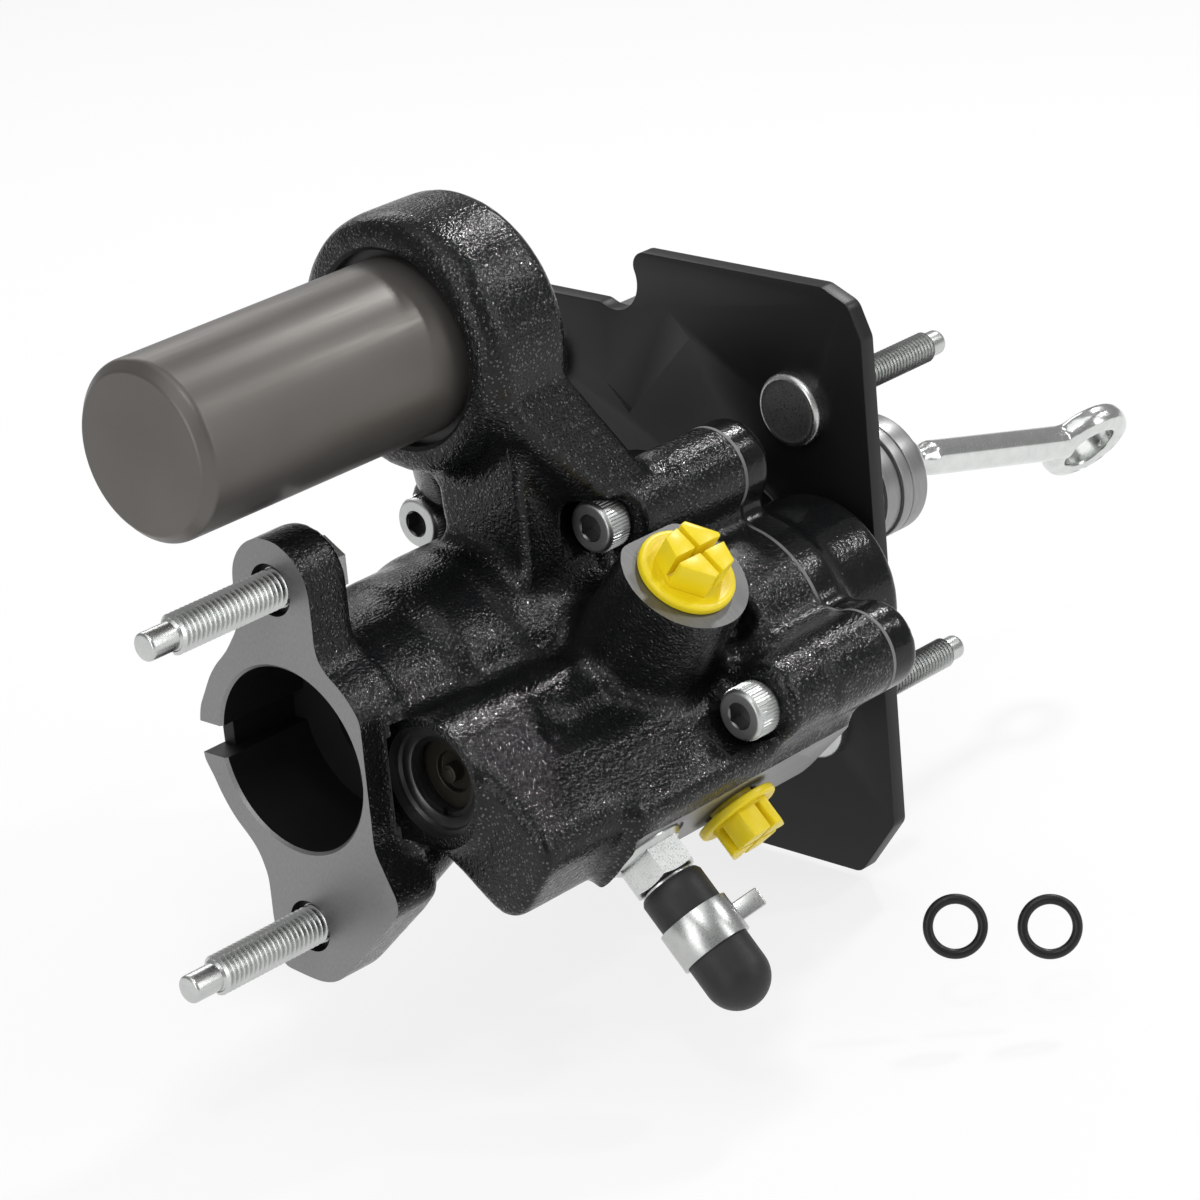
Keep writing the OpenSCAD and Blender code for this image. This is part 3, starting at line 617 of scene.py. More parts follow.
def skin_object(name, points, quads, keep, wobble=0.10):
    """The skin as an object, thinned to the given share of faces and made slightly uneven."""
    mesh = bpy.data.meshes.new(name)
    mesh.vertices.add(len(points))
    mesh.vertices.foreach_set("co", (points * MM).astype(np.float32).ravel())
    mesh.loops.add(4 * len(quads))
    mesh.loops.foreach_set("vertex_index", quads[:, ::-1].astype(np.int32).ravel())
    mesh.polygons.add(len(quads))
    mesh.polygons.foreach_set("loop_start", np.arange(0, 4 * len(quads), 4, dtype=np.int32))
    mesh.update(calc_edges=True)
    work = bmesh.new()
    work.from_mesh(mesh)
    bmesh.ops.recalc_face_normals(work, faces=work.faces)
    work.to_mesh(mesh)
    work.free()
    mesh.materials.append(PAINT)
    obj = thing(name, mesh)
    even = obj.modifiers.new("even", "SMOOTH")
    even.factor, even.iterations = 0.5, 3
    thin = obj.modifiers.new("thin", "DECIMATE")
    thin.ratio = keep
    settled(obj)
    count = len(obj.data.vertices)
    spots, out = np.empty(3 * count, np.float32), np.empty(3 * count, np.float32)
    obj.data.vertices.foreach_get("co", spots)
    obj.data.vertices.foreach_get("normal", out)
    spots, out = spots.reshape(-1, 3), out.reshape(-1, 3)
    rise = [noise.noise(Vector(p) / 7) + 0.5 * noise.noise(Vector(p) / 2.6) for p in spots / MM]
    spots += out * (wobble * MM * np.array(rise, np.float32))[:, None]
    obj.data.vertices.foreach_set("co", spots.ravel())
    obj.data.update()
    return obj


def stretched_faces(mesh, planes):
    """Moves the points that lie on a machined plane outwards, so that its later cut is crisp."""
    for v in mesh.vertices:
        p = v.co / MM
        for matrix, height, shift, inside in planes:
            local = matrix.inverted() @ p
            if abs(local.z - height) < 0.02 and inside(local):
                v.co += (matrix.to_3x3() @ Vector((0, 0, shift))) * MM
                break


def places(node):
    """Centres (y, z) of the separate solids of a CAD node, and the lowest and highest x of the first."""
    found = boxes(node)
    low, high = found[0]
    return [((lo[1] + hi[1]) / 2, (lo[2] + hi[2]) / 2) for lo, hi in found], low[0], high[0]


SCREWS, _, _ = places("cover_screws")
FRONT_STUDS, FRONT_TIP, FRONT_HEAD = places("flange_studs")
REAR_STUDS, REAR_HEAD, REAR_TIP = places("bracket_studs")


# straight flanks of the flange on its slotted side, as (y, z)
FLANGE_FLANK = [(2, 32), (12.6, 31.5), (15.4, 27.2), (29.3, 8.0), (30.4, 3),
                (30.4, -6.4), (14.7, -27.2), (12.6, -33), (2, -33)]


def pilot_bore():
    """The pilot bore, less the wall that parts it from the valve's front ring."""
    bore = lathe([(0, -9), (PILOT_R, -9), (PILOT_R, PILOT_DEPTH), (0, PILOT_DEPTH)])
    bore = thing("bore", mesh_of("bore", moved(bore, FORWARD)))
    carve(bore, [(moved(bar(VALVE_FACE_X - 5.4, VALVE_FACE_X + 4, VALVE_RING_R + 3.8), VALVE), None)])
    return lifted(bore)


def body_plugs():
    """Solids a little wider than the bores, which close their mouths, and the flange's straight flanks."""
    wider = 0.5
    parting = (PART_X - 6, PART_X + 4)
    plugs = [moved(bar(-4, 6, PILOT_R + 1.6), FORWARD),
             box((-4, 0, -SLOT_W / 2 - 0.3), (SLOT_OPEN + 1, 29, SLOT_W / 2 + 0.3)),
             moved(prism(FLANGE_FLANK, -4, FLANGE_T), UPRIGHT),
             moved(bar(*parting, BORE_R + wider), FORWARD),
             moved(bar(VALVE_FACE_X - 2, VALVE_FACE_X + 5, VALVE_RING_R + wider), VALVE),
             moved(bar(*parting, SLEEVE_BORE_R + wider), VALVE),
             box((parting[0], LEVER_Y[0], LEVER_Z[0] - wider), (parting[1], LEVER_Y[1], LEVER_Z[1] + wider)),
             moved(bar(RING_X, RING_X + 5, RING_MOUTH_R + wider), CAN),
             moved(bar(UPPER_PORT[2] - 4, UPPER_PORT[2] + 3, PORT_R + 2), UPPER)]
    for x, r in ((LOWER_PORT_X, PORT_R + 2), (RETURN_X, 11.7)):
        plugs.append(moved(bar(FACET_D - 4, FACET_D + 3, r), facet_at(x)))
    for y, z in FRONT_STUDS:
        plugs.append(moved(bar(-4, FLANGE_T, STUD_RECESS_R + wider), along_x(y, z)))
    for y, z in SCREWS:
        plugs.append(moved(bar(SCREW_SEAT_X, SCREW_SEAT_X + 5, SCREW_R + 0.8), along_x(y, z)))
        plugs.append(moved(bar(*parting, SCREW_R + 0.8), along_x(y, z)))
    return plugs


def port_cone(top):
    """A port's bore, widened at its mouth, whose face stands at the given height."""
    end, lip, out = top - PORT_DEPTH, PORT_R + 1.4, top + 5
    return lathe([(0, end), (PORT_R, end), (PORT_R, top - 1.2), (lip, top), (lip, out), (0, out)], 64)


def body_cuts():
    """Everything that is machined or cored, each with the finish it leaves; the bores take a darker metal as
    painted shade.
    """
    pilot_edge = lathe([(0, -9), (PILOT_R + 0.7, -9), (PILOT_R + 0.7, 0), (PILOT_R - 0.3, 1), (0, 1)])
    valve_front = lathe([
        (0, VALVE_FACE_X - 5), (VALVE_RING_R, VALVE_FACE_X - 5), (VALVE_RING_R, VALVE_RING_X),
        (PLUG_R + 2.6, VALVE_RING_X), (PLUG_R + 2.2, VALVE_RING_X + 0.9),
        (PLUG_R + 0.6, VALVE_RING_X + 1.1), (PLUG_R, VALVE_RING_X + 1.6), (PLUG_R, SPOOL_BORE_X),
        (0, SPOOL_BORE_X)
    ])
    can_seat = lathe([
        (0, RING_X - 8), (RING_MOUTH_R + 1.4, RING_X - 8), (RING_MOUTH_R + 1.0, RING_X),
        (RING_MOUTH_R, RING_X + 0.8), (RING_MOUTH_R, CAN_SEAT_X), (CAN_R + 0.02, CAN_SEAT_X),
        (CAN_R + 0.02, CAN_END_X + 2), (0, CAN_END_X + 2)
    ])
    cuts = [(slab(-40, 0), FACE),
            (slab(PART_X, PART_X + 30), FACE),
            (pilot_bore(), PILOT),
            (moved(pilot_edge, FORWARD), FACE),
            (box((-9, 0, SLOT_LOW), (SLOT_OPEN, 45, SLOT_TOP)), PILOT),
            (box((-9, 0, SLOT_LOW), (PILOT_DEPTH, SLOT_R - 0.6, SLOT_TOP)), PILOT),
            (moved(bar(PILOT_DEPTH - 1, SEAT_WALL_X + 1, ROD_HOLE_R), FORWARD), BORE_PAINTED_SHADE),
            (moved(bar(SEAT_WALL_X, PART_X + 9, BORE_R), FORWARD), BORE_PAINTED_SHADE),
            (moved(bar(VALVE_FACE_X - 4, VALVE_FACE_X, VALVE_RING_R + 2.4), VALVE), PAINT),
            (moved(valve_front, VALVE), BORE_PAINTED_SHADE),
            (moved(tube(16.4, 17.9, PLUG_R + 0.9, PLUG_R - 1), VALVE), BORE_PAINTED_SHADE),
            (moved(bar(SPOOL_BORE_X - 1, SLEEVE_BORE_X, SPOOL_R), VALVE), BORE_PAINTED_SHADE),
            (moved(bar(SLEEVE_BORE_X, PART_X + 9, SLEEVE_BORE_R), VALVE), BORE_PAINTED_SHADE),
            (box((LEVER_X, LEVER_Y[0], LEVER_Z[0]), (PART_X + 9, LEVER_Y[1], LEVER_Z[1])), BORE_PAINTED_SHADE),
            (moved(can_seat, CAN), BORE_PAINTED_SHADE),
            (moved(tube(RING_X + 3, RING_X + 4.8, RING_MOUTH_R + 1.4, RING_MOUTH_R - 1), CAN), BORE_PAINTED_SHADE),
            (moved(bar(CAN_END_X, CAN_END_X + 4, CAN_R - CAN_WALL), CAN), BORE_PAINTED_SHADE),
            (moved(bar(UPPER_PORT[2], UPPER_PORT[2] + 9, UPPER_FACE_R), UPPER), PORT_FACE),
            (moved(box((FACET_X, -32, FACET_D), (FACET_X + 88, 32, FACET_D + 20)), facet_at(0)), FACE),
            (moved(bar(FACET_D - RETURN_SINK, FACET_D + 4, 11.2), facet_at(RETURN_X)), FACE)]
    cuts.append((moved(port_cone(UPPER_PORT[2]), UPPER), BORE_PAINTED_SHADE))
    for x in (LOWER_PORT_X, RETURN_X):
        cuts.append((moved(port_cone(FACET_D), facet_at(x)), BORE_PAINTED_SHADE))
    for y, z in FRONT_STUDS:
        recess = [(0, -9), (STUD_RECESS_R, -9), (STUD_RECESS_R, STUD_RECESS), (STUD_HOLE_R, STUD_RECESS),
                  (STUD_HOLE_R, FLANGE_T + 2), (0, FLANGE_T + 2)]
        cuts.append((moved(lathe(recess, 64), along_x(y, z)), BORE_PAINTED_SHADE))
        cuts.append((moved(bar(FLANGE_T, FLANGE_T + 10, STUD_ROOM_R, 64), along_x(y, z)), PAINT))
    for y, z in SCREWS:
        cuts.append((moved(bar(SCREW_SEAT_X - 1, PART_X + 3, SCREW_R + 0.3, 48), along_x(y, z)), BORE_PAINTED_SHADE))
        cuts.append((moved(bar(SCREW_SEAT_X - 13, SCREW_SEAT_X, SCREW_R + 4.3, 64), along_x(y, z)), PAINT))
    return cuts


def everywhere(point):
    return True


def within(radius):
    return lambda point: math.hypot(point.x, point.y) < radius


def beyond(x):
    return lambda point: point.x > x


def with_solids(mesh, solids):
    """Adds loose solids to a mesh; the skin is grown over all of them."""
    more = mesh_of("plugs", joined(*solids))
    work = bmesh.new()
    work.from_mesh(mesh)
    work.from_mesh(more)
    work.to_mesh(mesh)
    work.free()
    return mesh


def cast_body():
    """The skin over the housing, cut where the casting is machined or cored."""
    mesh = cad_copy("housing", 0)
    planes = [(FORWARD, 0, -4, everywhere), (FORWARD, PART_X, 4, everywhere),
              (UPPER, UPPER_PORT[2], 3, within(UPPER_FACE_R)),
              (VALVE, VALVE_FACE_X, -2, within(VALVE_RING_R + 4)),
              (facet_at(0), FACET_D, 3, beyond(FACET_X - 0.1))]
    stretched_faces(mesh, planes)
    points, quads = cast_skin(with_solids(mesh, body_plugs()))
    obj = skin_object("cast_body", points, quads, 0.55)
    carve(obj, body_cuts())
    return shaded(obj, 34)


def cast_cover():
    """The rear cover as far as the bracket plate; its snout is turned separately."""
    mesh = cad_copy("rear_cover", 0)
    stretched_faces(mesh, [(FORWARD, GASKET_X, -4, everywhere)])
    parting = (GASKET_X - 4, GASKET_X + 5)
    plugs = [moved(bar(*parting, 20.5), FORWARD),
             moved(bar(*parting, 10.5), VALVE),
             box((parting[0], VALVE_Y, -8.5), (parting[1], 0, 6.5)),
             moved(bar(203, SNOUT_END_X, 11.5), FORWARD)]
    plugs += [moved(bar(*parting, SCREW_R + 0.6), along_x(y, z)) for y, z in SCREWS]
    points, quads = cast_skin(with_solids(mesh, plugs), 0.9, 3.6, 1.4)
    obj = skin_object("cast_cover", points, quads, 0.5)
    obj.data.materials[0] = COVER_PAINT
    front = GASKET_X - 9
    # the cover's bores and screw holes take the darker metal of painted shade
    cuts = [(slab(90, GASKET_X), FACE),
            (slab(COVER_BACK_X, 230), FACE),
            (moved(bar(front, COVER_ROOM_X, 20), FORWARD), BORE_PAINTED_SHADE),
            (moved(bar(front, VALVE_ROOM_X, 10), VALVE), BORE_PAINTED_SHADE),
            (box((front, VALVE_Y, -8), (COVER_ROOM_X, 0, 6)), BORE_PAINTED_SHADE),
            (moved(bar(134, 170, PLUNGER_R), FORWARD), BORE_PAINTED_SHADE)]
    cuts += [(moved(bar(front, SCREW_HOLE_X, SCREW_R + 0.02, 48), along_x(y, z)), BORE_PAINTED_SHADE) for y, z in SCREWS]
    carve(obj, cuts)
    return shaded(obj, 34)


def cover_snout():
    """Turned end of the cover: collar, plain round under the nut, neck, groove and the plunger's bore."""
    x0, x1, root, groove, mouth_r = SNOUT_X, SNOUT_END_X, SNOUT_X + 2, (200, 202), 11
    profile = rounded([
        (PLUNGER_R, x0, 0), (19.6, x0, 0), (19.6, root, 0.2), (NUT_SEAT_R, root, 0.2),
        (NUT_SEAT_R, 176.8, 0.4), (SNOUT_R, 177.4, 0), (SNOUT_R, groove[0], 0.2), (14.3, groove[0], 0.1),
        (14.3, groove[1], 0.1), (SNOUT_R, groove[1], 0.2), (SNOUT_R, x1, 0.7), (mouth_r, x1, 0),
        (mouth_r, 196, 0), (PLUNGER_R, 196, 0)
    ])
    return turned("cover_snout", profile, FORWARD, BAND)


# threads, knurls and sets of equal parts, by node trees

def tree_of(name, **sockets):
    """The graph of a new tree, and the sockets that its inputs come from."""
    tree = bpy.data.node_groups.new(name, "GeometryNodeTree")
    for label, kind in sockets.items():
        tree.interface.new_socket(label, in_out="INPUT", socket_type="NodeSocket" + kind)
    tree.interface.new_socket("Geometry", in_out="OUTPUT", socket_type="NodeSocketGeometry")
    return Graph(tree), tree.nodes.new("NodeGroupInput").outputs


def run_tree(tree, values, base=None):
    """Runs a tree on a fresh object and gives back the plain mesh."""
    obj = thing("maker", base or bpy.data.meshes.new("maker"))
    made = obj.modifiers.new("tree", "NODES")
    made.node_group = tree
    named = {s.name: s.identifier for s in tree.interface.items_tree if s.in_out == "INPUT"}
    for label, value in values.items():
        made[named[label]] = value
    settled(obj)
    mesh = obj.data
    bpy.data.objects.remove(obj)
    return mesh


def close_tree(g, geometry, material):
    """Ends a tree: its instances are made real and take one material."""
    real = g.add("GeometryNodeRealizeInstances", {0: geometry})
    done = g.add("GeometryNodeSetMaterial", {"Geometry": real, "Material": material})
    g.tree.links.new(done, g.tree.nodes.new("NodeGroupOutput").inputs[0])
    return g.tree


def thread_tree():
    """Sweeps a three-sided ridge along a helix."""
    g, given = tree_of("screw_thread", Radius="Float", Ridge="Float", Length="Float", Turns="Float",
                       Metal="Material")
    path = g.add("GeometryNodeCurveSpiral", {"Resolution": 28, "Rotations": given["Turns"],
                                             "Start Radius": given["Radius"], "End Radius": given["Radius"],
                                             "Height": given["Length"]})
    path = g.add("GeometryNodeSetCurveNormal", {0: path}, mode="Z_UP")
    ridge = g.add("GeometryNodeCurvePrimitiveCircle", {"Resolution": 3, "Radius": given["Ridge"]})
    ridge = g.add("GeometryNodeTransform", {"Geometry": ridge, "Rotation": (0, 0, math.pi)})
    swept = g.add("GeometryNodeCurveToMesh", {"Curve": path, "Profile Curve": ridge, "Fill Caps": True})
    return close_tree(g, swept, given["Metal"])


def knurl_tree():
    """Stands copies of the object's own mesh round a circle."""
    g, given = tree_of("knurl", Geometry="Geometry", Radius="Float", Count="Int", Metal="Material")
    ins = {"Resolution": given["Count"], "Radius": given["Radius"]}
    ring = g.add("GeometryNodeCurvePrimitiveCircle", ins)
    spots = g.add("GeometryNodeCurveToPoints", {0: ring, "Count": given["Count"]}, mode="COUNT")
    index = g.add("GeometryNodeInputIndex")
    angle = g.times(index, g.math("DIVIDE", TAU, given["Count"]))
    turn = g.add("ShaderNodeCombineXYZ", {"Z": angle})
    ins = {"Points": spots, "Instance": given["Geometry"], "Rotation": turn}
    return close_tree(g, g.add("GeometryNodeInstanceOnPoints", ins), given["Metal"])


def set_tree():
    """Stands a copy of the object's own mesh on each point of the Places object."""
    g, given = tree_of("fastener_set", Geometry="Geometry", Places="Object", Metal="Material")
    info = g.add("GeometryNodeObjectInfo", {"Object": given["Places"]}, "Geometry")
    spots = g.add("GeometryNodeMeshToPoints", {0: info})
    ins = {"Points": spots, "Instance": given["Geometry"]}
    return close_tree(g, g.add("GeometryNodeInstanceOnPoints", ins), given["Metal"])


THREAD, KNURL, SET = thread_tree(), knurl_tree(), set_tree()


def thread(major, pitch, z0, z1, metal):
    """Core and ridge of a thread between two heights; the core reaches a little into the ridge's foot."""
    ridge = pitch * 0.42
    length = z1 - z0 - pitch
    values = {"Radius": (major - ridge) * MM, "Ridge": ridge * MM, "Length": length * MM,
              "Turns": length / pitch, "Metal": metal}
    coil = mesh_solid(run_tree(THREAD, values), place(0, 0, z0 + pitch / 2))
    root = major - ridge * 1.36
    core = lathe([(0, z0), (root - 0.5, z0), (root, z0 + 0.7), (root, z1), (0, z1)], 48)
    return joined(core, coil)


def standing(name, one, spots, metal):
    """Copies a solid whose axis is Z to each (y, z) place, turned along X."""
    points = bpy.data.meshes.new("places")
    points.from_pydata([(0, y * MM, z * MM) for y, z in spots], [], [])
    points = thing("places", points)
    values = {"Places": points, "Metal": metal}
    made = run_tree(SET, values, mesh_of("one", moved(one, FORWARD), metal))
    bpy.data.objects.remove(points)
    made.name = name
    return shaded(thing(name, made), 30)


def hex_block(flats, z0, z1, chamfer, turn=0.0):
    """A hexagon whose upper corners are turned off."""
    block = thing("hex", mesh_of("hex", prism(hexagon(flats, turn), z0, z1)))
    r, below = flats / math.sqrt(3) + 1, z0 - 1
    dome = [(0, below), (r, below), (r, z1 - chamfer * 1.2), (flats / 2 - 0.4, z1), (0, z1)]
    carve(block, [(lathe(dome, 64), None)], "INTERSECT")
    return lifted(block)


def front_studs():
    """Studs of the flange: dog point, thread, shank in the ear and a hexagon behind it."""
    tip, dog_end = FRONT_TIP, FRONT_TIP + 8.4
    dog = lathe(rounded([(0, tip, 0), (3.5, tip, 0.9), (3.5, dog_end, 0), (0, dog_end, 0)]), 48)
    shank = bar(2, FLANGE_T + 1, 5.05, 48)
    head = moved(hex_block(STUD_FLATS, -FRONT_HEAD + 0.8, -FLANGE_T, 1.4), spun(180, "X"))
    one = joined(dog, thread(STUD_R, STUD_PITCH, tip + 8, 3, ZINC), shank, head)
    return standing("front_studs", one, FRONT_STUDS, ZINC)


def rear_studs():
    """Studs pressed into the bracket: round dished head, thread and rounded tip."""
    head, tip, face = REAR_HEAD, REAR_TIP, REAR_HEAD + 3.2
    thread_x = face + 4
    disc = rounded([
        (0, head + 0.35, 0), (7.6, head + 0.15, 0.8), (8.5, head, 0.5), (9.6, head + 0.9, 0.7),
        (9.6, face, 0), (0, face, 0)
    ])
    dog = lathe(rounded([(0, tip - 6, 0), (3.2, tip - 6, 0), (3.2, tip, 1.6), (0, tip, 0)], 6), 40)
    wound = thread(REAR_STUD_R, REAR_STUD_PITCH, thread_x, tip - 4.5, ZINC)
    one = joined(lathe(disc, 72), bar(face - 1, thread_x, 4.3, 48), wound, dog)
    return standing("rear_studs", one, REAR_STUDS, ZINC)


def cap_screws():
    """Socket head screws: knurled head, rounded rim, hexagon socket with a turned lead-in."""
    seat, head_r, knurl_r = SCREW_SEAT_X, SCREW_HEAD_R, 6.4
    end = seat - SCREW_HEAD
    head = rounded([
        (0, end, 0), (6.0, end, 0.7), (head_r, end + 1, 0.2), (head_r, seat - 0.9, 0.3), (5.9, seat, 0),
        (0, seat, 0)
    ])
    head = thing("head", mesh_of("head", lathe(head, 72)))
    socket = prism(hexagon(SOCKET_FLATS), end - 1, end + SOCKET_DEPTH)
    lead_in = lathe([(0, seat - 8.5), (3.9, seat - 8.5), (3.1, seat - 7.6), (0, seat - 7.6)], 48)
    carve(head, [(socket, None), (lead_in, None)])
    tooth = prism([(6.2, -0.32), (6.7, 0.0), (6.2, 0.32)], seat - 6.8, seat - 1.0)
    tooth = mesh_of("tooth", moved(tooth, place(-knurl_r, 0, 0)))
    ridges = mesh_solid(run_tree(KNURL, {"Radius": knurl_r * MM, "Count": 48, "Metal": ZINC}, tooth))
    one = joined(lifted(head), ridges, bar(seat - 1, SCREW_TIP_X, SCREW_R, 48))
    obj = standing("cap_screws", one, SCREWS, SCREW_ZINC)
    # faces inside each hexagon socket take the darker zinc, as painted shade
    obj.data.materials.append(SOCKET_PAINTED_SHADE)
    reach, mouth_x, floor_x = 3.7, seat - 7.95, seat - 3.9
    for face in obj.data.polygons:
        x, y, z = face.center / MM
        nearest = min(math.hypot(y - sy, z - sz) for sy, sz in SCREWS)
        if nearest < reach and mouth_x < x < floor_x:
            face.material_index = len(obj.data.materials) - 1
    return obj


# turned and moulded pieces

def can():
    """Accumulator can: stepped domed end, groove for the retaining ring and a hollow inside."""
    x0, x1 = reach_x("accumulator_can")
    r, groove_r, inner, floor_x = CAN_R, CAN_R - 1.6, CAN_R - CAN_WALL, x0 + 4
    groove = (CAN_SEAT_X + 5, CAN_SEAT_X + 7.4)
    profile = rounded([
        (0, x0, 0), (r - 2.7, x0, 0.25), (r - 2.2, x0 + 0.35, 0.2), (r, x0 + 2.6, 1.0), (r, groove[0], 0),
        (groove_r, groove[0], 0), (groove_r, groove[1], 0), (r, groove[1], 0), (r, x1, 0.8), (inner, x1, 0),
        (inner, floor_x, 0), (0, floor_x, 0)
    ], 6)
    return turned("can", profile, CAN, CAN_COAT, 160, 28)


def front_plug():
    """Dark plug of the front bore, with a small nub in its middle."""
    x, rim = PLUG_X, PLUG_R - 0.02
    disc = rounded([
        (0, x + 1.5, 0), (4.9, x + 1.5, 0.2), (5.1, x, 0.25), (PLUG_R - 1.2, x, 0.3), (rim, x + 0.6, 0.2),
        (rim, 31, 0.4), (SPOOL_R, 31, 0), (SPOOL_R, 27, 0), (0, 27, 0)
    ])
    nub = rounded([
        (0, x - 2, 0), (1.2, x - 2, 0.2), (1.3, x - 1.7, 0.1), (2.3, x - 1.7, 0.4), (2.3, x + 2, 0),
        (0, x + 2, 0)
    ])
    return piece("front_plug", moved(joined(lathe(disc), lathe(nub, 40)), VALVE), PLUG_FACE)


def plastic_cap(name, base, disc_r, matrix):
    """Push-in cap: thin dished disc, hexagon in four lobes, short stem."""
    disc = rounded([
        (0, base + 1.9, 0), (disc_r - 3.0, base + 1.9, 0.8), (disc_r - 1.4, base + 2.4, 0.8),
        (disc_r, base + 2.0, 0.9), (disc_r, base, 0.5), (5.6, base, 0.3), (5.9, base - 2, 0.2),
        (5.4, base - 6, 0.6), (0, base - 6, 0)
    ])
    lobes = thing("lobes", mesh_of("lobes", prism(hexagon(15, 12), base + 1.2, base + 9.5)))
    slot = box((-20, -0.75, base + 2.7), (20, 0.75, base + 12))
    carve(lobes, [(moved(slot, spun(a)), None) for a in (0, 90)])
    bevelled(lobes, 0.35, 2)
    return piece(name, moved(joined(lathe(disc), lifted(lobes)), matrix), YELLOW, 30)


def upper_cap():
    return plastic_cap("upper_cap", UPPER_PORT[2], 12.2, UPPER)


def lower_cap():
    return plastic_cap("lower_cap", FACET_D + 1.5, 10.7, facet_at(LOWER_PORT_X))


def return_union():
    """Zinc fitting: washer face, hexagon with turned corners, neck."""
    base = RETURN_D
    washer = rounded([
        (0, base - 10, 0), (6, base - 10, 0.5), (6, base, 0), (9.9, base, 0.2), (9.9, base + 0.8, 0.4),
        (8.6, base + 2.2, 0.3), (0, base + 2.2, 0)
    ])
    hexagonal = hex_block(15.5, base + 1.4, base + 9.6, 1.0, turn=8)
    neck = rounded([
        (0, base + 9, 0), (6.1, base + 9, 0), (6.1, base + 10.4, 0.4), (5, base + 10.8, 0.3),
        (5, base + 29, 0.8), (0, base + 29, 0)
    ])
    solid = joined(lathe(washer, 72), hexagonal, lathe(neck, 48))
    return piece("return_union", moved(solid, facet_at(RETURN_X)), ZINC, 30)


def rubber_cap():
    """Closed rubber sleeve with a turned lip and a domed end."""
    base, inner, r = RETURN_CAP_D, 5.2, 8.2
    end, bottom = base + 35.3, base + 21
    dome = [(r * math.cos(deg(a)), end - r + r * math.sin(deg(a))) for a in range(0, 90, 6)]
    profile = rounded([(inner, base + 0.2, 0), (7.4, base + 0.2, 0.7), (r, base + 1.6, 0.6)])
    profile += [(r, base + 4), (r, base + 12)] + dome + [(0, end), (0, bottom), (inner, bottom)]
    return turned("rubber_cap", profile, facet_at(RETURN_X), RUBBER, 80, 40)


def spring_clamp():
    """Flat constant-tension clamp: band with a tapered window and a notch, and an ear that stands out."""
    base = CLAMP_D
    ear_turn = spun(30)
    band = thing("clamp", mesh_of("clamp", tube(base, base + 10, 9.15, 8.25, 128), CLAMP))
    window = prism([(-5.2, base + 4.1), (5.6, base + 2.6), (5.6, base + 7.4), (-5.2, base + 5.9)], 4, 12)
    stand_up = Matrix(((1, 0, 0, 0), (0, 0, 1, 0), (0, 1, 0, 0), (0, 0, 0, 1)))
    window = moved(window, spun(-150) @ stand_up)
    notch = moved(box((5, -6, base + 2), (12, -1.5, base + 8)), ear_turn)
    carve(band, [(window, None), (notch, None)])
    bevelled(band, 0.22, 2, 40)
    ear = moved(box((8.4, -1.9, base + 2.6), (16.4, -1.0, base + 7.4)), ear_turn)
    ear = bevelled(thing("ear", mesh_of("ear", ear)), 0.4, 3, 40)
    solid = moved(joined(lifted(band), lifted(ear)), facet_at(RETURN_X))
    return piece("spring_clamp", solid, CLAMP, 30)


def bracket():
    """The CAD plate with its edges broken."""
    obj = thing("bracket", cad_copy("mounting_bracket"))
    obj.data.materials.append(SATIN)
    bevelled(obj, 0.7, 3, 40)
    return shaded(obj, 30)


def lock_nut():
    """Nut that clamps the bracket, over the snout's plain round."""
    x0, x1 = reach_x("bracket_nut")
    nut = thing("lock_nut", mesh_of("lock_nut", hex_block(40.9, x0, x1, 1.6), OILED))
    carve(nut, [(bar(x0 - 1, x1 + 1, NUT_SEAT_R + 0.02), OILED)])
    nut.data.transform(FORWARD)
    return shaded(nut)


def end_ring():
    """Ring on the end of the snout, with a fine line round it and a dished face."""
    x0, x1, outer, lip_r = END_RING_X, END_RING_END_X, END_RING_R, 10.98
    profile = rounded([
        (8.3, x0, 0), (lip_r, x0, 0.2), (lip_r, SNOUT_END_X, 0), (outer, SNOUT_END_X, 0.5),
        (outer, 211.5, 0.1), (15.9, 211.8, 0.1), (outer, 212.1, 0.1), (outer, x1, 0.9), (13.6, x1, 0.2),
        (13.2, 217.4, 0.2), (10.8, 217.4, 0.4), (8.3, 210, 0.3)
    ])
    return turned("end_ring", profile, FORWARD, BAND)


def bright_collar():
    """Bright ring at the plunger's end, round the pedal rod."""
    x0, x1 = reach_x("rod_collar")
    profile = rounded([
        (5.6, x0, 0), (6.2, x0, 0.3), (6.6, x0 + 0.8, 0.4), (6.6, x1 - 1.2, 0.9), (5.9, x1, 0.3),
        (5.6, x1, 0)
    ])
    return turned("bright_collar", profile, FORWARD, CHROME, 72)


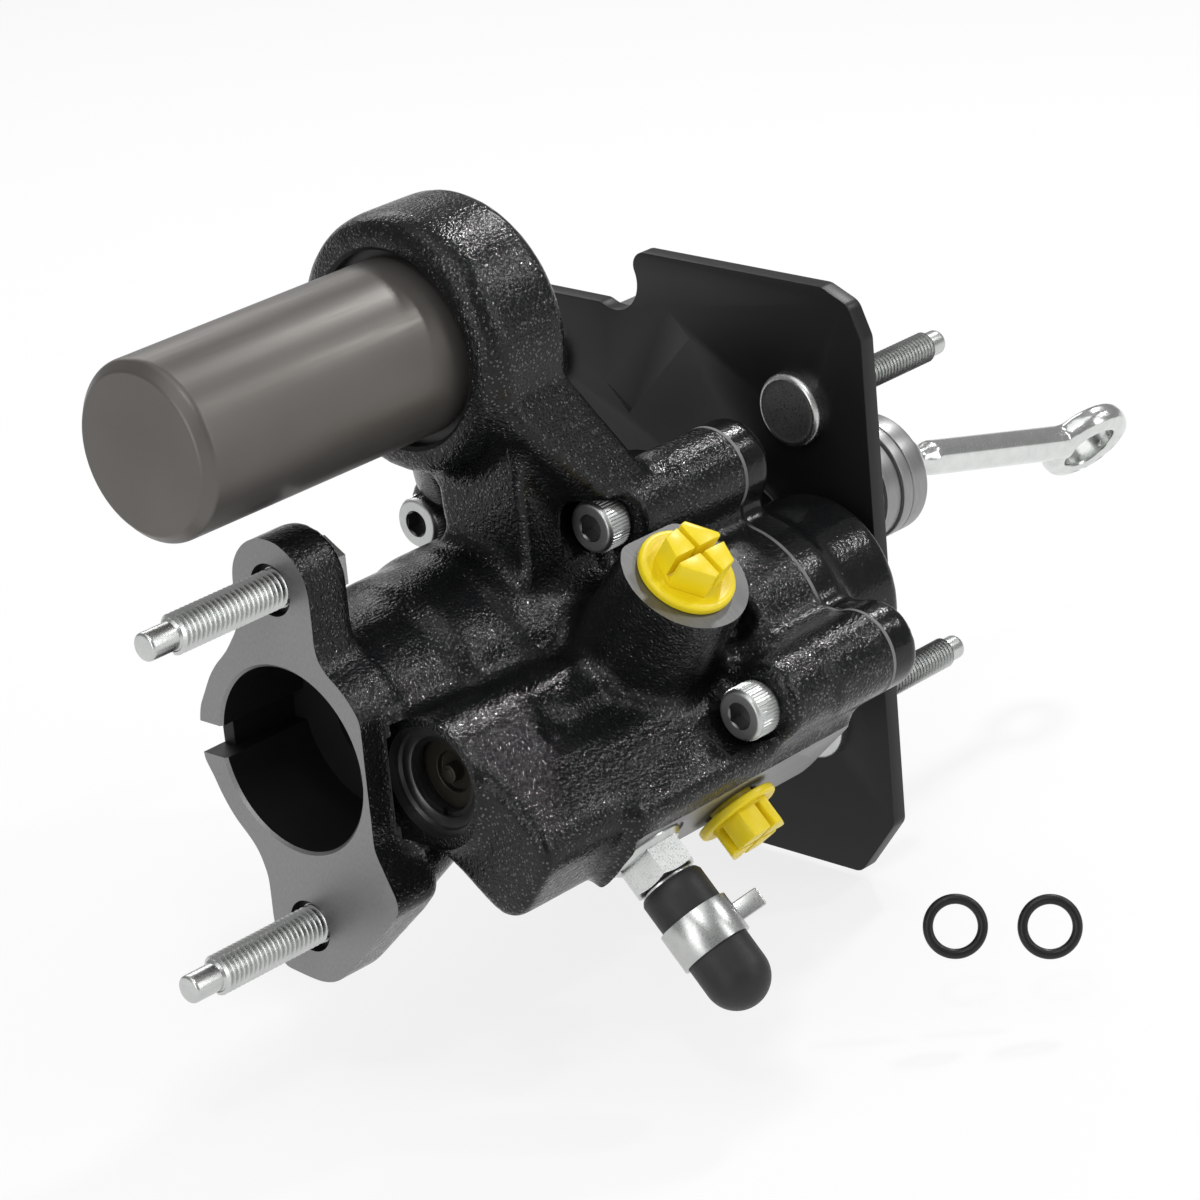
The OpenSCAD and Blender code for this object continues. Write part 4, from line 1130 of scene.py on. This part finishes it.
def pull_rod():
    """Forged pedal rod: bar and eye grown together, with a rounded hole."""
    half, bar_end, mouth_r, edge = EYE_T / 2, ROD_LENGTH - 8, EYE_HOLE_R + 2.2, 1.5
    rod = lathe([(0, 1), (2.6, 1), (2.6, 7.5), (ROD_R, 12), (ROD_R, bar_end), (0, bar_end)], 64)
    rim = [(EYE_R - 2.6, -half), (EYE_R - 0.7, -half + 1.0), (EYE_R, 0)]
    rim += [(EYE_R - 0.7, half - 1.0), (EYE_R - 2.6, half)]
    eye_frame = place(ROD_LENGTH, 0, 0, 90 - EYE_TURN)
    eye = moved(lathe([(0, -half)] + rim + [(0, half)], 96), eye_frame)
    ball = lathe([(BALL_R * math.sin(deg(a)), -BALL_R * math.cos(deg(a))) for a in range(0, 181, 10)], 48)
    soup = mesh_of("soup", joined(moved(rod, FORWARD), eye, ball))
    points, quads = cast_skin(soup, 0.45, 2.2, 0.5)
    obj = skin_object("pull_rod", points, quads, 0.5, 0.0)
    obj.data.materials[0] = CHROME
    flare = [(0, -9), (mouth_r, -9), (mouth_r, -half)]
    for a in range(0, 91, 15):
        flare.append((EYE_HOLE_R + edge * (1 - math.sin(deg(a))), -half + edge * (1 - math.cos(deg(a)))))
    flare += [(r, -z) for r, z in flare[:2:-1]] + [(mouth_r, half), (mouth_r, 9), (0, 9)]
    carve(obj, [(moved(lathe(flare, 96), eye_frame), CHROME)])
    obj.data.transform(place(BALL_X * MM, 0, 0, ROD_DROOP, "Y"))
    return shaded(obj, 40)


def squeezed_spring(node, joint, seat_x, stroke):
    """A copy of the spring's CAD mesh in oiled steel, carried rigidly by the body at its rest length."""
    obj = thing(node + "_wire", cad_copy(node, 0))
    obj.data.materials.append(OILED)
    shaded(obj, 40)
    dress(obj, "body", node)
    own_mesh(obj)


# camera, light and floor; the camera's place is in metres, its angles in degrees, its lens in millimetres

EYE = Vector((-0.67385, -0.75894, 0.43596))
AZIMUTH, ELEVATION, ROLL = -45.85, 21.71, -5.25
LENS, SENSOR, NEAREST, FARTHEST = 141.9, 36, 0.01, 50


def camera():
    az, el, roll = deg(AZIMUTH), deg(ELEVATION), deg(ROLL)
    back = Vector((math.sin(az) * math.cos(el), -math.cos(az) * math.cos(el), math.sin(el)))
    right = Vector((math.cos(az), math.sin(az), 0))
    up = back.cross(right)
    side = right * math.cos(roll) + up * math.sin(roll)
    top = up * math.cos(roll) - right * math.sin(roll)
    lens = bpy.data.cameras.new("camera")
    lens.lens, lens.sensor_width = LENS, SENSOR
    lens.clip_start, lens.clip_end = NEAREST, FARTHEST
    obj = thing("camera", lens)
    turn = Matrix((side, top, back)).transposed().to_4x4()
    obj.matrix_world = Matrix.Translation(EYE) @ turn
    bpy.context.scene.camera = obj


# lamps: place and size in metres, power in watts; all point at LAMP_AIM
LAMP_AIM = Vector((0.08, 0, 0))
LAMPS = {
    "top_box": ((-0.25, -0.15, 1.1), (1.1, 1.1), 4),
    "front_glint": ((-0.45, -0.42, 0.95), (0.1, 0.1), 1.4),
    "left_box": ((-1.1, -0.2, 0.35), (0.5, 0.9), 4),
    "right_strip": ((0.5, -1.1, 0.5), (0.35, 0.9), 3),
    "back_box": ((0.5, 0.9, 0.7), (0.7, 0.5), 3),
    "rear_glint": ((0.86, 0.1, 0.86), (0.1, 0.1), 4.2),
    "side_glint": ((0.81, -0.53, 0.72), (0.07, 0.07), 2.2),
}
SKY_STRENGTH = 0.34

# half the floor's width and its height, in metres; it lies under the bracket's lower edge at every pose
FLOOR_HALF, FLOOR_Z, FLOOR_GAP = 8, -0.087, 0.001


def lamp(name, where, size, watts):
    light = bpy.data.lights.new(name, "AREA")
    light.shape, light.energy = "RECTANGLE", watts
    light.size, light.size_y = size
    obj = thing(name, light)
    obj.location = where
    obj.rotation_euler = (LAMP_AIM - Vector(where)).to_track_quat("-Z", "Y").to_euler()


def seen_white(g, shader, strength, share):
    """Mixes plain white into a shader for rays from the camera and those that metal or glass sends on."""
    path = g.tree.nodes.new("ShaderNodeLightPath").outputs
    rays = g.math("MAXIMUM", path["Is Camera Ray"], path["Is Glossy Ray"])
    rays = g.math("MAXIMUM", rays, path["Is Transmission Ray"])
    white = g.add("ShaderNodeEmission", {"Color": (1, 1, 1, 1), "Strength": strength})
    return g.add("ShaderNodeMixShader", {0: g.times(rays, share), 1: shader, 2: white})


def pale_floor():
    half, low = FLOOR_HALF, min(cad_box[0][2], FLOOR_Z) - FLOOR_GAP
    corners = [(-half, -half, low), (half, -half, low), (half, half, low), (-half, half, low)]
    floor = bpy.data.meshes.new("floor")
    floor.from_pydata(corners, [], [[0, 1, 2, 3]])
    pale = bpy.data.materials.new("pale_floor")
    pale.use_nodes = True
    g = Graph(pale.node_tree)
    g.tree.nodes.remove(g.tree.nodes["Principled BSDF"])
    diffuse = g.add("ShaderNodeBsdfDiffuse", {"Color": grey(0.9)})
    out = g.tree.nodes["Material Output"]
    g.tree.links.new(seen_white(g, diffuse, 1.0, 0.8), out.inputs["Surface"])
    floor.materials.append(pale)
    thing("floor", floor)


def studio():
    pale_floor()
    world = bpy.data.worlds.new("studio")
    bpy.context.scene.world = world
    world.use_nodes = True
    sky = world.node_tree.nodes["Background"].inputs
    sky["Color"].default_value = grey(0.9)
    sky["Strength"].default_value = SKY_STRENGTH
    for name, (where, size, watts) in LAMPS.items():
        lamp(name, where, size, watts)
    bpy.context.scene.view_settings.view_transform = "Standard"


def paint_node(node, material):
    obj = frame["nodes"][node]
    if not obj.material_slots:
        obj.data.materials.append(material)
    for spot in obj.material_slots:
        spot.material = material


camera()
studio()
for make, slot, node in (
        (cast_body, "black_casting", "housing"),
        (cast_cover, "black_casting", "rear_cover"),
        (cover_snout, "dark_steel", "rear_cover"),
        (can, "can_grey", "accumulator_can"),
        (front_studs, "zinc", "flange_studs"),
        (rear_studs, "zinc", "bracket_studs"),
        (cap_screws, "zinc", "cover_screws"),
        (front_plug, "dark_steel", "valve_plug"),
        (upper_cap, "cap_yellow", "pressure_port_cap"),
        (lower_cap, "cap_yellow", "lower_port_cap"),
        (return_union, "zinc", "return_fitting"),
        (rubber_cap, "seal_rubber", "return_cap"),
        (spring_clamp, "clamp_steel", "return_clamp"),
        (bracket, "bracket_black", "mounting_bracket"),
        (lock_nut, "dark_steel", "bracket_nut"),
        (end_ring, "dark_steel", "snout_end_ring")):
    dress(make(), "body", node)
dress(bright_collar(), "collar", "rod_collar")
dress(pull_rod(), "rod", "pedal_rod")
squeezed_spring("return_spring", "piston_slide", *RETURN_SPRING)
squeezed_spring("spool_spring", "spool_slide", *SPOOL_SPRING)

# pieces shown as they are in the CAD model
INNER = {
    GROUND: ("accumulator_piston", "power_piston", "output_rod", "spool_valve", "valve_sleeve", "lever_pin",
             "plunger_pin", "input_plunger"),
    SEAL: ("accumulator_oring", "input_seal", "piston_seal", "port_orings"),
    OXIDE: ("accumulator_retainer", "valve_plug_ring"),
    OILED: ("spring_seat", "valve_lever"),
    GASKET: ("cover_gasket",),
}
for material, nodes in INNER.items():
    for node in nodes:
        paint_node(node, material)
